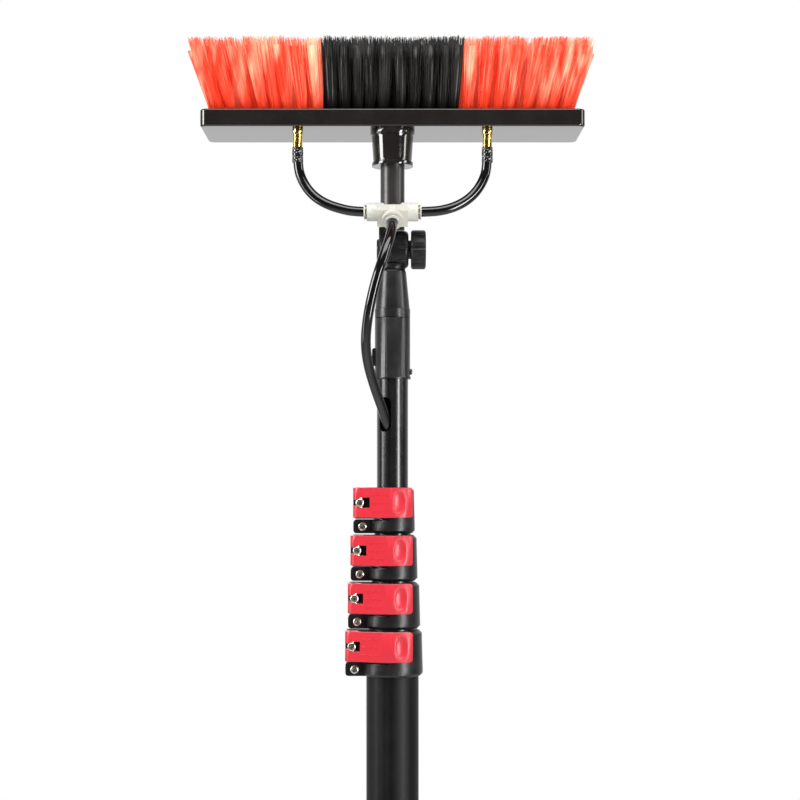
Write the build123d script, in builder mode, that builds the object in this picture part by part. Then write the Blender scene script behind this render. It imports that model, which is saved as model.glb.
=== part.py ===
from build123d import *
import math
import os

os.makedirs("parts", exist_ok=True)

# A water-fed telescopic window cleaning pole with its wash brush, collapsed.
# +Z runs up the pole. The levers and the tee face -Y. The origin is the centre of the end cap's outer
# face. All sizes are in millimetres.

# ---- Pole sections: section 1 is the base, section 5 the top ----
SECTIONS = 5
BASE_TUBE_LENGTH = 1295.0
TOP_TUBE_OD = 25.4
TUBE_WALL = 1.3
TUBE_GAP = 0.85  # between a tube's bore and the next tube inside it
INNER_TUBE_RISE = 12.0  # from the end cap's plug to the bottom of section 2
BOTTOM_STEP = 5.0  # each further section stops this much higher
BUSH_HEIGHT = 25.0
BUSH_FLOOR = 2.0
BUSH_CLEARANCE = 0.3

# ---- Handle end ----
CAP_STANDOUT = 2.5  # the cap's flange stands this far out from the base tube
CAP_FLANGE = 5.0
CAP_BEVEL = 1.5
CAP_PLUG_DEPTH = 23.0
CAP_PLUG_WALL = 3.0
HOSE_HOLE_D = 17.4
GLUE_LINE = 0.05  # clearance of parts that are fixed into each other
GRIP_OD = 56.0
GRIP_LENGTH = 750.0
GRIP_OFFSET = 3.0
GRIP_ROUND = 5.0

# ---- Lever clamps: clamp k sits on top of section k and grips section k + 1 ----
COLLAR_WALL = 3.4
COLLAR_TAPER = 0.8
COLLAR_HEIGHT = 37.0
COLLAR_SPACING = 1.5
COLLAR_GRIP = 20.0  # how far a collar reaches down its own section
COLLAR_CHAMFER = 2.2
COLLAR_TOP_CHAMFER = 2.6
COLLAR_LIP = 3.0
LIP_CLEARANCE = 0.6
SLIDE_CLEARANCE = 0.35
LINER_SLIT = 1.2
LOWER_BAND = 11.0
BAND_SLIT = 0.8
BAND_SLIT_START = 3.0  # the slit between the bands stops this far left of the pole's axis
EAR_LENGTH = 13.5
EAR_HALF = 7.5
EAR_SPLIT = 2.0
EAR_ROUND = 2.6
LEVER_HEIGHT = 24.0
LEVER_THICK = 3.0
LEVER_GAP = 0.5
LEVER_END_X = 16.3  # the lever's free end lies this far right of the pole's axis
LEVER_CORNER = 2.6
CAM_REACH = 6.0
CAM_OFFSET = 0.4
CAM_GAP = 0.3
PIN_OUTSET = 8.0
PIN_R = 3.0
PIN_END = 0.8  # the pin is this much shorter than the lever at each end
RUNNING_FIT = 0.05
BOLT_R = 2.0
BOLT_CLEARANCE = 0.15
BOLT_HEAD_R = 3.5
BOLT_HEAD_HEIGHT = 3.8
HEAD_ROUND = 1.3
BOLT_TAIL = 0.8
KEY_AF = 3.0
KEY_DEPTH = 2.0
NUT_AF = 7.0
NUT_HEIGHT = 3.2
BAND_SCREW_OUTSET = 6.0
BAND_SCREW_HEAD = 2.8
WINDOW_HEIGHT = 8.4
WINDOW_REACH = 10.0
WINDOW_START = 270.0  # the window is a sector round the pin, in degrees
WINDOW_SWEEP = 158.0
LEVER_SWING = 115.0
HEAD_CLEARANCE = 0.4
SHANK_SLOT = 4.8
RECESS_DEPTH = 1.6
RECESS_WIDTH = 10.2
RECESS_HEIGHT = 17.5
RECESS_ANGLE = 14.5  # to the right of the front
DASH_FROM_PIN = 17.0
DASH_PITCH = 5.0
DASH_ROWS = 6.4
DASH_LENGTH = 2.8
DASH_WIDTH = 0.9
DASH_HEIGHT = 0.4

# ---- Ferrule, snap button and angle adaptor on the top section ----
EXPOSED_TUBE = 88.1
FERRULE_LENGTH = 49.3
FERRULE_WALL = 1.65
FERRULE_LIP = 2.0
LIP_STANDOUT = 0.5
RIB_STANDOUT = 2.3
RIB_WIDTH = 4.0
RIB_LENGTH = 14.5
RIB_RISE = 18.0
BUTTON_RISE = 6.0
BUTTON_R = 2.4
BUTTON_CLEARANCE = 0.3
BUTTON_STANDOUT = 1.8
BUTTON_FLANGE_R = 3.4
BUTTON_FLANGE = 1.0
BUTTON_WALL_GAP = 0.3
SPRING_THICK = 0.6
SPRING_WIDTH = 5.0
SPRING_DROP = 13.0
SPRING_RISE = 6.0
SLOT_DROP = 29.0
SLOT_LENGTH = 28.0
SLOT_SIDE_GAP = 1.25
SLOT_AZIMUTH = 30.0  # to the left of the front
JOINT_LINE = 0.5
CONE_SPIGOT = 30.0
CONE_BAND = 7.0
CONE_STEP = 0.35
CONE_LENGTH = 39.3
CONE_TOP_R = 10.9
CONE_ROUND = 3.0
CONE_BORE_R = 8.0
CONE_BORE_DEPTH = 22.0

# ---- Tilt hinge, its axis along X ----
HINGE_R = 15.0
HINGE_TO_CONE = 1.3  # from the discs' rims down to the cone's top
HINGE_GAP = 2.0
SKIRT_WALL = 1.2
SKIRT_GAP = 0.25
SADDLE_GAP = 0.4
SADDLE_HEIGHT = 4.0
LEFT_DISC = 10.0
RIGHT_DISC = 12.0
SMOOTH_RIM = 4.0
DISC_ROUND = 3.0
LOBES = 10
LOBE_R = 1.5
TEETH = 24
TOOTH_HEIGHT = 0.8
TOOTH_WIDTH = 1.2
TOOTH_LENGTH = 5.5
TOOTH_CLEARANCE = 0.3
LOWER_STEM_HALF = 7.5
LOWER_STEM_X = 10.0
UPPER_STEM_HALF = 8.0
NECK_TO_HINGE = 2.3
NECK_FLOOR = 1.6
SPIGOT_LENGTH = 22.0
PIVOT_R = 3.0
PIVOT_HEAD_R = 8.5
PIVOT_HEAD = 1.8
WASHER_R = 7.6
WASHER_THICK = 1.0
WASHER_CLEARANCE = 0.2
KNOB_GAP = 0.1
KNOB_HUB = 0.9
KNOB_THICK = 12.0
KNOB_R = 15.8
KNOB_LOBES = 8
KNOB_LOBE_R = 3.0
KNOB_BEVEL = 1.2
KNOB_FLOOR = 2.0

# ---- Neck, tee fitting and hoses ----
NECK_OD = 19.6
NECK_WALL = 1.5
TEE_RISE = 27.4
TEE_FORWARD = 21.5
TEE_TILT = 37.0
ARM_R = 7.4
ARM_LENGTH = 20.6
TEE_BLOCK_WIDTH = 24.4
TEE_BLOCK_FRONT = 11.0
TEE_NOTCH_HALF = 6.0
TEE_NOTCH = 2.2
TEE_BACK = 7.5
BARREL_R = 8.1
BARREL_LENGTH = 15.0
HOSE_OD = 8.0
ARM_SEAT = 11.0
BARREL_SEAT = 6.0
WATERWAY_R = 2.8
PORT_WALL = 1.7  # from the hose to the port's bore, which the collet fills
SEAL_THICK = 1.9
COLLET_FIT = 0.08
COLLET_SEAL_GAP = 0.4
COLLET_TRAVEL_GAP = 1.3
COLLET_FLANGE = 1.2
COLLET_RIM = 0.5
CLIP_WALL = 2.0
CLIP_HEIGHT = 12.0
CLIP_PAD_HALF = 8.0
CLIP_MOUTH = 8.0
POLE_HOSE_STOP = 10.0

# ---- Brush ----
SOCKET_RISE = 67.5
SOCKET_HEIGHT = 29.5
SOCKET_LIP_R = 16.8
SOCKET_LIP = 3.0
SOCKET_BODY_R = 15.6
SOCKET_SHOULDER_R = 17.1
SOCKET_FLANGE_R = 18.0
SOCKET_FLANGE = 4.5
SOCKET_FLOOR = 4.0
BLOCK_WIDTH = 310.0
BLOCK_DEPTH = 70.0
BLOCK_THICK = 14.2
BLOCK_FRONT = 19.0  # from the pole's axis forward to the block's front face
BLOCK_CORNER = 6.0
BLOCK_EDGE = 1.5
BRISTLE_LENGTH = 57.0
BRISTLE_MARGIN = 4.0
BRISTLE_SIDE_MARGIN = 9.0
BRISTLE_FLARE_X = 17.5
BRISTLE_FLARE_Y = 12.0
CENTRE_HALF = 54.5
CENTRE_FLARE = 2.6
TUFT_GAP = 0.6
SOCKET_SCREWS = 3
SOCKET_SCREW_R = 1.5
SOCKET_SCREW_CIRCLE = 13.4
SOCKET_SCREW_HEAD_R = 3.0
SOCKET_SCREW_HEAD = 2.0
SOCKET_SCREW_LENGTH = 24.0
JET_X = 76.5
JET_FROM_FRONT = 8.0
JET_THREAD_R = 3.4
JET_RING_STEP = 0.3  # the fitting's ring stands this far out from the hose's wall
JET_RING = 5.5
JET_BARREL_STEP = 0.2
JET_LENGTH = 16.0
JET_BORE_R = 1.5
SLEEVE_LENGTH = 12.0
SLEEVE_WALL = 0.5

# ---- Levels worked out from the sizes above ----
COLLAR_PITCH = COLLAR_HEIGHT + COLLAR_SPACING
BASE_TOP = CAP_FLANGE + BASE_TUBE_LENGTH
FERRULE_BOTTOM = (
    BASE_TOP - COLLAR_GRIP + (SECTIONS - 2) * COLLAR_PITCH + COLLAR_HEIGHT + EXPOSED_TUBE
)
FERRULE_TOP = FERRULE_BOTTOM + FERRULE_LENGTH
FERRULE_R = TOP_TUBE_OD / 2 + FERRULE_WALL
CONE_TOP = FERRULE_TOP + JOINT_LINE + CONE_LENGTH
HINGE_Z = CONE_TOP + HINGE_TO_CONE + HINGE_R
SOCKET_BOTTOM = HINGE_Z + SOCKET_RISE
UNDERSIDE = SOCKET_BOTTOM + SOCKET_HEIGHT
BLOCK_TOP = UNDERSIDE + BLOCK_THICK
BUTTON_Z = FERRULE_BOTTOM + BUTTON_RISE
SLOT_Z = FERRULE_BOTTOM - SLOT_DROP
JET_Y = JET_FROM_FRONT - BLOCK_FRONT
JET_BOTTOM = UNDERSIDE - JET_LENGTH
HOSE_R = HOSE_OD / 2
JET_RING_R = HOSE_R + JET_RING_STEP
JET_BARREL_R = HOSE_R - JET_BARREL_STEP
PORT_BORE_R = HOSE_R + PORT_WALL
COLLET_FLANGE_R = PORT_BORE_R + COLLET_RIM
NECK_R = NECK_OD / 2
NECK_BORE_R = NECK_R - NECK_WALL


def section_radius(k):
    """Outer radius of section k."""
    return TOP_TUBE_OD / 2 + (SECTIONS - k) * (TUBE_WALL + TUBE_GAP)


def section_bore(k):
    return section_radius(k) - TUBE_WALL


def section_bottom(k):
    if k == 1:
        return CAP_FLANGE
    return CAP_FLANGE + CAP_PLUG_DEPTH + INNER_TUBE_RISE + (k - 2) * BOTTOM_STEP


def section_top(k):
    if k == SECTIONS:
        return FERRULE_TOP
    return BASE_TOP + (k - 1) * COLLAR_PITCH


def clamp_floor(k):
    """The height of the bottom face of the collar on section k."""
    return BASE_TOP - COLLAR_GRIP + (k - 1) * COLLAR_PITCH


def route_radii(points):
    """One arc radius for each corner of a hose's route, as large as its two runs allow."""
    radii = []
    for before, corner, after in zip(points, points[1:], points[2:]):
        run_in = Vector(*corner) - Vector(*before)
        run_out = Vector(*after) - Vector(*corner)
        half_turn = math.radians(run_in.get_angle(run_out)) / 2
        radii.append(0.45 * min(run_in.length, run_out.length) / math.tan(half_turn))
    return radii


def report_hose(name, path, solid, radii):
    """Prints a hose's length, its arcs' radii and how its volume compares with section times length."""
    section = math.pi * HOSE_R**2
    share = solid.volume / (section * path.length)
    print(name, "length", round(path.length, 1), "volume share", round(share, 4))
    print(name, "radii", [round(r, 1) for r in radii])


# ================= pole sections =================

slot_outward = (
    -math.sin(math.radians(SLOT_AZIMUTH)),
    -math.cos(math.radians(SLOT_AZIMUTH)),
    0,
)
slot_plane = Plane(origin=(0, 0, SLOT_Z), x_dir=(0, 0, 1), z_dir=slot_outward)
button_plane = Plane(origin=(0, 0, BUTTON_Z), x_dir=(0, 1, 0), z_dir=(1, 0, 0))

for k in range(1, SECTIONS + 1):
    with BuildPart() as tube:
        with BuildSketch(Plane.XY.offset(section_bottom(k))):
            Circle(section_radius(k))
            Circle(section_bore(k), mode=Mode.SUBTRACT)
        extrude(amount=section_top(k) - section_bottom(k))
        if k == SECTIONS:
            # the hose enters the top section through a slot below the ferrule
            with BuildSketch(slot_plane):
                SlotOverall(SLOT_LENGTH, HOSE_OD + 2 * SLOT_SIDE_GAP)
            extrude(amount=FERRULE_R, mode=Mode.SUBTRACT)
            with BuildSketch(button_plane):
                Circle(BUTTON_R + BUTTON_CLEARANCE)
            extrude(amount=FERRULE_R, mode=Mode.SUBTRACT)
    tube.part.label = f"tube_{k}"
    export_step(tube.part, f"parts/tube_{k}.step")

# a guide bush caps the bottom of each inner section and runs in the bore of the section outside it
for k in range(2, SECTIONS + 1):
    bush_bottom = section_bottom(k) - BUSH_FLOOR
    with BuildPart() as bush:
        with BuildSketch(Plane.XY.offset(bush_bottom)):
            Circle(section_bore(k - 1) - BUSH_CLEARANCE)
        extrude(amount=BUSH_HEIGHT)
        with BuildSketch(Plane.XY.offset(section_bottom(k))):
            Circle(section_radius(k))
        extrude(amount=BUSH_HEIGHT, mode=Mode.SUBTRACT)
        with BuildSketch(Plane.XY.offset(bush_bottom)):
            Circle(section_bore(k))
        extrude(amount=BUSH_HEIGHT, mode=Mode.SUBTRACT)
    bush.part.label = f"guide_bush_{k}"
    export_step(bush.part, f"parts/guide_bush_{k}.step")

# ================= handle end =================

with BuildPart() as end_cap:
    with BuildSketch(Plane.XY):
        Circle(section_radius(1) + CAP_STANDOUT)
    extrude(amount=CAP_FLANGE)
    chamfer(end_cap.edges().group_by(Axis.Z)[0], CAP_BEVEL)
    plug_r = section_bore(1) - GLUE_LINE
    with BuildSketch(Plane.XY.offset(CAP_FLANGE)):
        Circle(plug_r)
        Circle(plug_r - CAP_PLUG_WALL, mode=Mode.SUBTRACT)
    extrude(amount=CAP_PLUG_DEPTH)
    with BuildSketch(Plane.XY):
        Circle(HOSE_HOLE_D / 2)
    extrude(amount=CAP_FLANGE, mode=Mode.SUBTRACT)
end_cap.part.label = "end_cap"
export_step(end_cap.part, "parts/end_cap.step")

with BuildPart() as foam_grip:
    with BuildSketch(Plane.XY.offset(CAP_FLANGE + GRIP_OFFSET)):
        Circle(GRIP_OD / 2)
        Circle(section_radius(1), mode=Mode.SUBTRACT)
    extrude(amount=GRIP_LENGTH)
    grip_rims = foam_grip.edges().filter_by(GeomType.CIRCLE)
    grip_wall = GRIP_OD / 2 - section_radius(1)
    fillet(grip_rims.group_by(SortBy.RADIUS)[-1], min(GRIP_ROUND, 0.8 * grip_wall))
foam_grip.part.label = "foam_grip"
export_step(foam_grip.part, "parts/foam_grip.step")

# ================= lever clamps =================

for k in range(1, SECTIONS):
    floor = clamp_floor(k)
    top = floor + COLLAR_HEIGHT
    tube_r = section_radius(k)
    inner_r = section_radius(k + 1)
    collar_r = tube_r + COLLAR_WALL
    ear_tip = -(collar_r + EAR_LENGTH)
    upper_floor = floor + LOWER_BAND + BAND_SLIT
    lever_floor = top - LEVER_HEIGHT
    lever_mid = lever_floor + LEVER_HEIGHT / 2
    pin_x = -(collar_r + PIN_OUTSET)
    pin_y = -(EAR_HALF + CAM_GAP + CAM_REACH)
    band_x = -(collar_r + BAND_SCREW_OUTSET)
    band_z = floor + LOWER_BAND / 2

    # collar: a split ring with two pairs of ears on its left
    with BuildPart() as collar:
        with BuildSketch(Plane.XZ):
            with BuildLine():
                Polyline(
                    (0, floor),
                    (collar_r - COLLAR_CHAMFER, floor),
                    (collar_r, floor + COLLAR_CHAMFER),
                    (collar_r - COLLAR_TAPER, top - COLLAR_TOP_CHAMFER),
                    (collar_r - COLLAR_TAPER - COLLAR_TOP_CHAMFER, top),
                    (0, top),
                    close=True,
                )
            make_face()
        revolve(axis=Axis.Z)
        with BuildSketch(Plane.XZ):
            with Locations((ear_tip / 2, band_z)):
                RectangleRounded(-ear_tip, LOWER_BAND, EAR_ROUND)
            with Locations((ear_tip / 2, (upper_floor + top) / 2)):
                RectangleRounded(-ear_tip, top - upper_floor, EAR_ROUND)
        extrude(amount=EAR_HALF, both=True)
        with BuildSketch(Plane.XY.offset(floor)):
            Circle(tube_r)
        extrude(amount=COLLAR_HEIGHT - COLLAR_LIP, mode=Mode.SUBTRACT)
        with BuildSketch(Plane.XY.offset(floor)):
            Circle(inner_r + LIP_CLEARANCE)
            with Locations((ear_tip / 2, 0)):
                Rectangle(-ear_tip, EAR_SPLIT)
        extrude(amount=COLLAR_HEIGHT, mode=Mode.SUBTRACT)
        with BuildSketch(Plane.XY.offset(floor + LOWER_BAND)):
            with Locations(((ear_tip - BAND_SLIT_START) / 2, 0)):
                Rectangle(-ear_tip - BAND_SLIT_START, 2 * collar_r)
        extrude(amount=BAND_SLIT, mode=Mode.SUBTRACT)
        with BuildSketch(Plane.XZ):
            with Locations((pin_x, lever_mid), (band_x, band_z)):
                Circle(BOLT_R + BOLT_CLEARANCE)
        extrude(amount=EAR_HALF, both=True, mode=Mode.SUBTRACT)
    collar.part.label = f"clamp_{k}_collar"
    export_step(collar.part, f"parts/clamp_{k}_collar.step")

    # liner: a split sleeve that the collar squeezes onto the inner section
    with BuildPart() as liner:
        with BuildSketch(Plane.XY.offset(section_top(k))):
            Circle(tube_r)
            Circle(inner_r + SLIDE_CLEARANCE, mode=Mode.SUBTRACT)
            with Locations((-tube_r / 2, 0)):
                Rectangle(tube_r, LINER_SLIT, mode=Mode.SUBTRACT)
        extrude(amount=top - COLLAR_LIP - section_top(k))
    liner.part.label = f"clamp_{k}_liner"
    export_step(liner.part, f"parts/clamp_{k}_liner.step")

    # lever: a cam round the pin, a flat that leaves it at a tangent, and an arc round the collar
    arc_in = collar_r + LEVER_GAP
    arc_out = arc_in + LEVER_THICK
    cam_r = CAM_REACH - CAM_OFFSET
    cam_x, cam_y = pin_x, pin_y + CAM_OFFSET
    cam_far = math.hypot(cam_x, cam_y)
    tangent = math.atan2(cam_y, cam_x) + math.acos((arc_out - cam_r) / cam_far)
    out_x, out_y = math.cos(tangent), math.sin(tangent)
    flat_start = (cam_x + cam_r * out_x, cam_y + cam_r * out_y)
    flat_end = (arc_out * out_x, arc_out * out_y)
    start_angle = math.degrees(tangent) % 360
    end_angle = 270 + math.degrees(math.asin(LEVER_END_X / arc_out))
    with BuildPart() as lever:
        with BuildSketch(Plane.XY.offset(lever_floor)):
            with BuildLine():
                outer_flat = Line(flat_start, flat_end)
                outer_arc = CenterArc((0, 0), arc_out, start_angle, end_angle - start_angle)
                inner_arc = CenterArc((0, 0), arc_in, start_angle, end_angle - start_angle)
                Line(outer_arc @ 1, inner_arc @ 1)
                back = Vector(out_x, out_y) * LEVER_THICK
                inner_start = Vector(*flat_start) - back
                Line(inner_arc @ 0, inner_start)
                Line(inner_start, outer_flat @ 0)
            make_face()
            with Locations((cam_x, cam_y)):
                Circle(cam_r)
        extrude(amount=LEVER_HEIGHT)
        end_edges = [
            e
            for e in lever.edges().filter_by(GeomType.LINE)
            if abs(e.length - LEVER_THICK) < 1e-4 and e.center().X > 0
        ]
        fillet(end_edges, LEVER_CORNER)
        with BuildSketch(Plane.XY.offset(lever_floor)):
            with Locations((pin_x, pin_y)):
                Circle(PIN_R + RUNNING_FIT)
        extrude(amount=LEVER_HEIGHT, mode=Mode.SUBTRACT)
        # the window and the slot let the tension bolt stay put while the lever swings round it
        with BuildSketch(Plane.XY.offset(lever_mid - WINDOW_HEIGHT / 2)):
            with BuildLine():
                rim = CenterArc((pin_x, pin_y), WINDOW_REACH, WINDOW_START, WINDOW_SWEEP)
                Line((pin_x, pin_y), rim @ 0)
                Line(rim @ 1, (pin_x, pin_y))
            make_face()
        extrude(amount=WINDOW_HEIGHT, mode=Mode.SUBTRACT)
        # the bolt's shank sweeps one sector in front of the pin and one behind it
        with BuildSketch(Plane.XY.offset(lever_mid - SHANK_SLOT / 2)):
            for start in (90, 270):
                with BuildLine():
                    rim = CenterArc((pin_x, pin_y), WINDOW_REACH, start, LEVER_SWING)
                    Line((pin_x, pin_y), rim @ 0)
                    Line(rim @ 1, (pin_x, pin_y))
                make_face()
                for turn in (start, start + LEVER_SWING):
                    with Locations(Location((pin_x, pin_y), turn)):
                        Rectangle(WINDOW_REACH, SHANK_SLOT, align=(Align.MIN, Align.CENTER))
        extrude(amount=SHANK_SLOT, mode=Mode.SUBTRACT)
        with BuildSketch(Plane.XZ.offset(-pin_y)):
            with Locations((pin_x, lever_mid)):
                Circle(BOLT_HEAD_R + HEAD_CLEARANCE)
        extrude(amount=WINDOW_REACH, mode=Mode.SUBTRACT)
        # thumb recess: a hollow of revolution about an upright axis in front of the arc
        chord_x = math.sqrt(arc_out**2 - RECESS_WIDTH**2 / 4)
        hollow = chord_x - (arc_out - RECESS_DEPTH)
        recess_r = (RECESS_WIDTH**2 / 4 + hollow**2) / (2 * hollow)
        at_skin = math.sqrt(1 - ((recess_r - RECESS_DEPTH) / recess_r) ** 2)
        recess_turn = math.radians(RECESS_ANGLE - 90)
        recess_out = arc_out + recess_r - RECESS_DEPTH
        recess_x = recess_out * math.cos(recess_turn)
        recess_y = recess_out * math.sin(recess_turn)
        recess_plane = Plane(
            origin=(recess_x, recess_y, lever_mid), x_dir=(1, 0, 0), z_dir=(0, -1, 0)
        )
        with BuildSketch(recess_plane):
            Ellipse(recess_r, RECESS_HEIGHT / 2 / at_skin)
            with Locations((-recess_r, 0)):
                Rectangle(2 * recess_r, 2 * RECESS_HEIGHT / at_skin, mode=Mode.SUBTRACT)
        revolve(axis=Axis((recess_x, recess_y, 0), (0, 0, 1)), mode=Mode.SUBTRACT)
        # nine short grip dashes on the flat
        along = (Vector(*flat_end) - Vector(*flat_start)).normalized()
        dash_at = Vector(*flat_start) + along * DASH_FROM_PIN
        dash_plane = Plane(
            origin=(dash_at.X, dash_at.Y, lever_mid), x_dir=along, z_dir=(out_x, out_y, 0)
        )
        with BuildSketch(dash_plane):
            with GridLocations(DASH_PITCH, DASH_ROWS, 3, 3):
                Rectangle(DASH_LENGTH, DASH_WIDTH)
        extrude(amount=DASH_HEIGHT)
    lever.part.label = f"clamp_{k}_lever"
    export_step(lever.part, f"parts/clamp_{k}_lever.step")

    # barrel pin: the lever turns on it and the tension bolt passes through it
    with BuildPart() as pin:
        with BuildSketch(Plane.XY.offset(lever_floor + PIN_END)):
            with Locations((pin_x, pin_y)):
                Circle(PIN_R)
        extrude(amount=LEVER_HEIGHT - 2 * PIN_END)
        with BuildSketch(Plane.XZ.offset(-pin_y)):
            with Locations((pin_x, lever_mid)):
                Circle(BOLT_R + RUNNING_FIT)
        extrude(amount=PIN_R, both=True, mode=Mode.SUBTRACT)
    pin.part.label = f"clamp_{k}_barrel_pin"
    export_step(pin.part, f"parts/clamp_{k}_barrel_pin.step")

    # tension bolt, band screw and their nuts, four separate solids
    bolt_front = -pin_y + PIN_R
    tail = EAR_HALF + NUT_HEIGHT + BOLT_TAIL
    with BuildPart() as screws:
        with BuildSketch(Plane.XZ.offset(-tail)):
            with Locations((pin_x, lever_mid)):
                Circle(BOLT_R)
        extrude(amount=tail + bolt_front)
        with BuildSketch(Plane.XZ.offset(bolt_front)):
            with Locations((pin_x, lever_mid)):
                Circle(BOLT_HEAD_R)
        extrude(amount=BOLT_HEAD_HEIGHT)
        with BuildSketch(Plane.XZ.offset(-tail)):
            with Locations((band_x, band_z)):
                Circle(BOLT_R)
        extrude(amount=tail + EAR_HALF)
        with BuildSketch(Plane.XZ.offset(EAR_HALF)):
            with Locations((band_x, band_z)):
                Circle(BOLT_HEAD_R)
        extrude(amount=BAND_SCREW_HEAD)
        head_faces = (-bolt_front - BOLT_HEAD_HEIGHT, -EAR_HALF - BAND_SCREW_HEAD)
        rims = [
            e
            for e in screws.edges().filter_by(GeomType.CIRCLE)
            if min(abs(e.center().Y - y) for y in head_faces) < 1e-4
        ]
        fillet(rims, HEAD_ROUND)
        with BuildSketch(Plane.XZ.offset(bolt_front + BOLT_HEAD_HEIGHT)):
            with Locations((pin_x, lever_mid)):
                RegularPolygon(KEY_AF / 2, 6, major_radius=False)
        extrude(amount=-KEY_DEPTH, mode=Mode.SUBTRACT)
        with BuildSketch(Plane.XZ.offset(EAR_HALF + BAND_SCREW_HEAD)):
            with Locations((band_x, band_z)):
                RegularPolygon(KEY_AF / 2, 6, major_radius=False)
        extrude(amount=-KEY_DEPTH, mode=Mode.SUBTRACT)
        with BuildSketch(Plane.XZ.offset(-EAR_HALF)):
            with Locations((pin_x, lever_mid), (band_x, band_z)):
                RegularPolygon(NUT_AF / 2, 6, major_radius=False)
                Circle(BOLT_R + RUNNING_FIT, mode=Mode.SUBTRACT)
        extrude(amount=-NUT_HEIGHT)
    screws.part.label = f"clamp_{k}_screws"
    export_step(screws.part, f"parts/clamp_{k}_screws.step")

# ================= ferrule, snap button and angle adaptor =================

with BuildPart() as ferrule:
    with BuildSketch(Plane.XY.offset(FERRULE_BOTTOM)):
        Circle(FERRULE_R)
    extrude(amount=FERRULE_LENGTH)
    with BuildSketch(Plane.XY.offset(FERRULE_BOTTOM)):
        Circle(FERRULE_R + LIP_STANDOUT)
    extrude(amount=FERRULE_LIP)
    # locating rib on the left
    rib_x = -(FERRULE_R + RIB_STANDOUT)
    with BuildSketch(Plane.XZ):
        with Locations((rib_x / 2, FERRULE_BOTTOM + RIB_RISE)):
            RectangleRounded(-rib_x, RIB_LENGTH, RIB_STANDOUT * 0.8)
    extrude(amount=RIB_WIDTH / 2, both=True)
    with BuildSketch(Plane.XY.offset(FERRULE_BOTTOM)):
        Circle(TOP_TUBE_OD / 2)
    extrude(amount=FERRULE_LENGTH, mode=Mode.SUBTRACT)
    with BuildSketch(button_plane):
        Circle(BUTTON_R + BUTTON_CLEARANCE)
    extrude(amount=FERRULE_R + LIP_STANDOUT, mode=Mode.SUBTRACT)
ferrule.part.label = "ferrule"
export_step(ferrule.part, "parts/ferrule.step")

top_bore = section_bore(SECTIONS)
flange_x = math.sqrt(top_bore**2 - BUTTON_FLANGE_R**2) - BUTTON_WALL_GAP
with BuildPart() as snap_button:
    with BuildSketch(button_plane):
        Circle(BUTTON_R)
    extrude(amount=FERRULE_R + BUTTON_STANDOUT)
    fillet(snap_button.edges().group_by(Axis.X)[-1], BUTTON_STANDOUT * 0.7)
    with BuildSketch(button_plane.offset(flange_x - BUTTON_FLANGE)):
        Circle(BUTTON_FLANGE_R)
    extrude(amount=BUTTON_FLANGE)
    with BuildSketch(button_plane):
        Circle(BUTTON_FLANGE_R)
    extrude(amount=flange_x - BUTTON_FLANGE, mode=Mode.SUBTRACT)
snap_button.part.label = "snap_button"
export_step(snap_button.part, "parts/snap_button.step")

# a V of flat spring steel holds the button out; it bears on the flange and on the far wall
spring_right = flange_x - BUTTON_FLANGE
spring_left = GLUE_LINE - math.sqrt(top_bore**2 - SPRING_WIDTH**2 / 4)
with BuildPart() as button_spring:
    with BuildSketch(Plane.XZ):
        with BuildLine():
            Polyline(
                (spring_right - SPRING_THICK / 2, BUTTON_Z + SPRING_RISE / 2),
                (spring_right - SPRING_THICK / 2, BUTTON_Z - SPRING_RISE / 2),
                (0, BUTTON_Z - SPRING_DROP),
                (spring_left + SPRING_THICK, BUTTON_Z - SPRING_RISE / 2),
                (spring_left + SPRING_THICK, BUTTON_Z + SPRING_RISE / 2),
            )
            offset(amount=SPRING_THICK / 2, side=Side.BOTH)
        make_face()
    extrude(amount=SPRING_WIDTH / 2, both=True)
button_spring.part.label = "button_spring"
export_step(button_spring.part, "parts/button_spring.step")

with BuildPart() as adaptor_cone:
    cone_bottom = FERRULE_TOP + JOINT_LINE
    spigot_r = TOP_TUBE_OD / 2 - TUBE_WALL - GLUE_LINE
    with BuildSketch(Plane.XZ):
        with BuildLine():
            Polyline(
                (0, FERRULE_TOP - CONE_SPIGOT),
                (spigot_r, FERRULE_TOP - CONE_SPIGOT),
                (spigot_r, cone_bottom),
                (FERRULE_R, cone_bottom),
                (FERRULE_R, cone_bottom + CONE_BAND),
                (FERRULE_R - CONE_STEP, cone_bottom + CONE_BAND + CONE_STEP),
                (CONE_TOP_R, CONE_TOP),
                (0, CONE_TOP),
                close=True,
            )
        make_face()
    revolve(axis=Axis.Z)
    fillet(adaptor_cone.edges().group_by(Axis.Z)[-1], min(CONE_ROUND, CONE_TOP_R - CONE_BORE_R - 0.3))
    with BuildSketch(Plane.XY.offset(CONE_TOP)):
        Circle(CONE_BORE_R)
    extrude(amount=-CONE_BORE_DEPTH, mode=Mode.SUBTRACT)
adaptor_cone.part.label = "adaptor_cone"
export_step(adaptor_cone.part, "parts/adaptor_cone.step")

# ================= tilt hinge =================

face_x = HINGE_GAP / 2
right_x = face_x + RIGHT_DISC
left_x = face_x + LEFT_DISC
tooth_mid = HINGE_R - SKIRT_WALL - TOOTH_CLEARANCE - TOOTH_LENGTH / 2
hinge_plane = Plane(origin=(0, 0, HINGE_Z), x_dir=(0, 1, 0), z_dir=(1, 0, 0))

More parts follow.
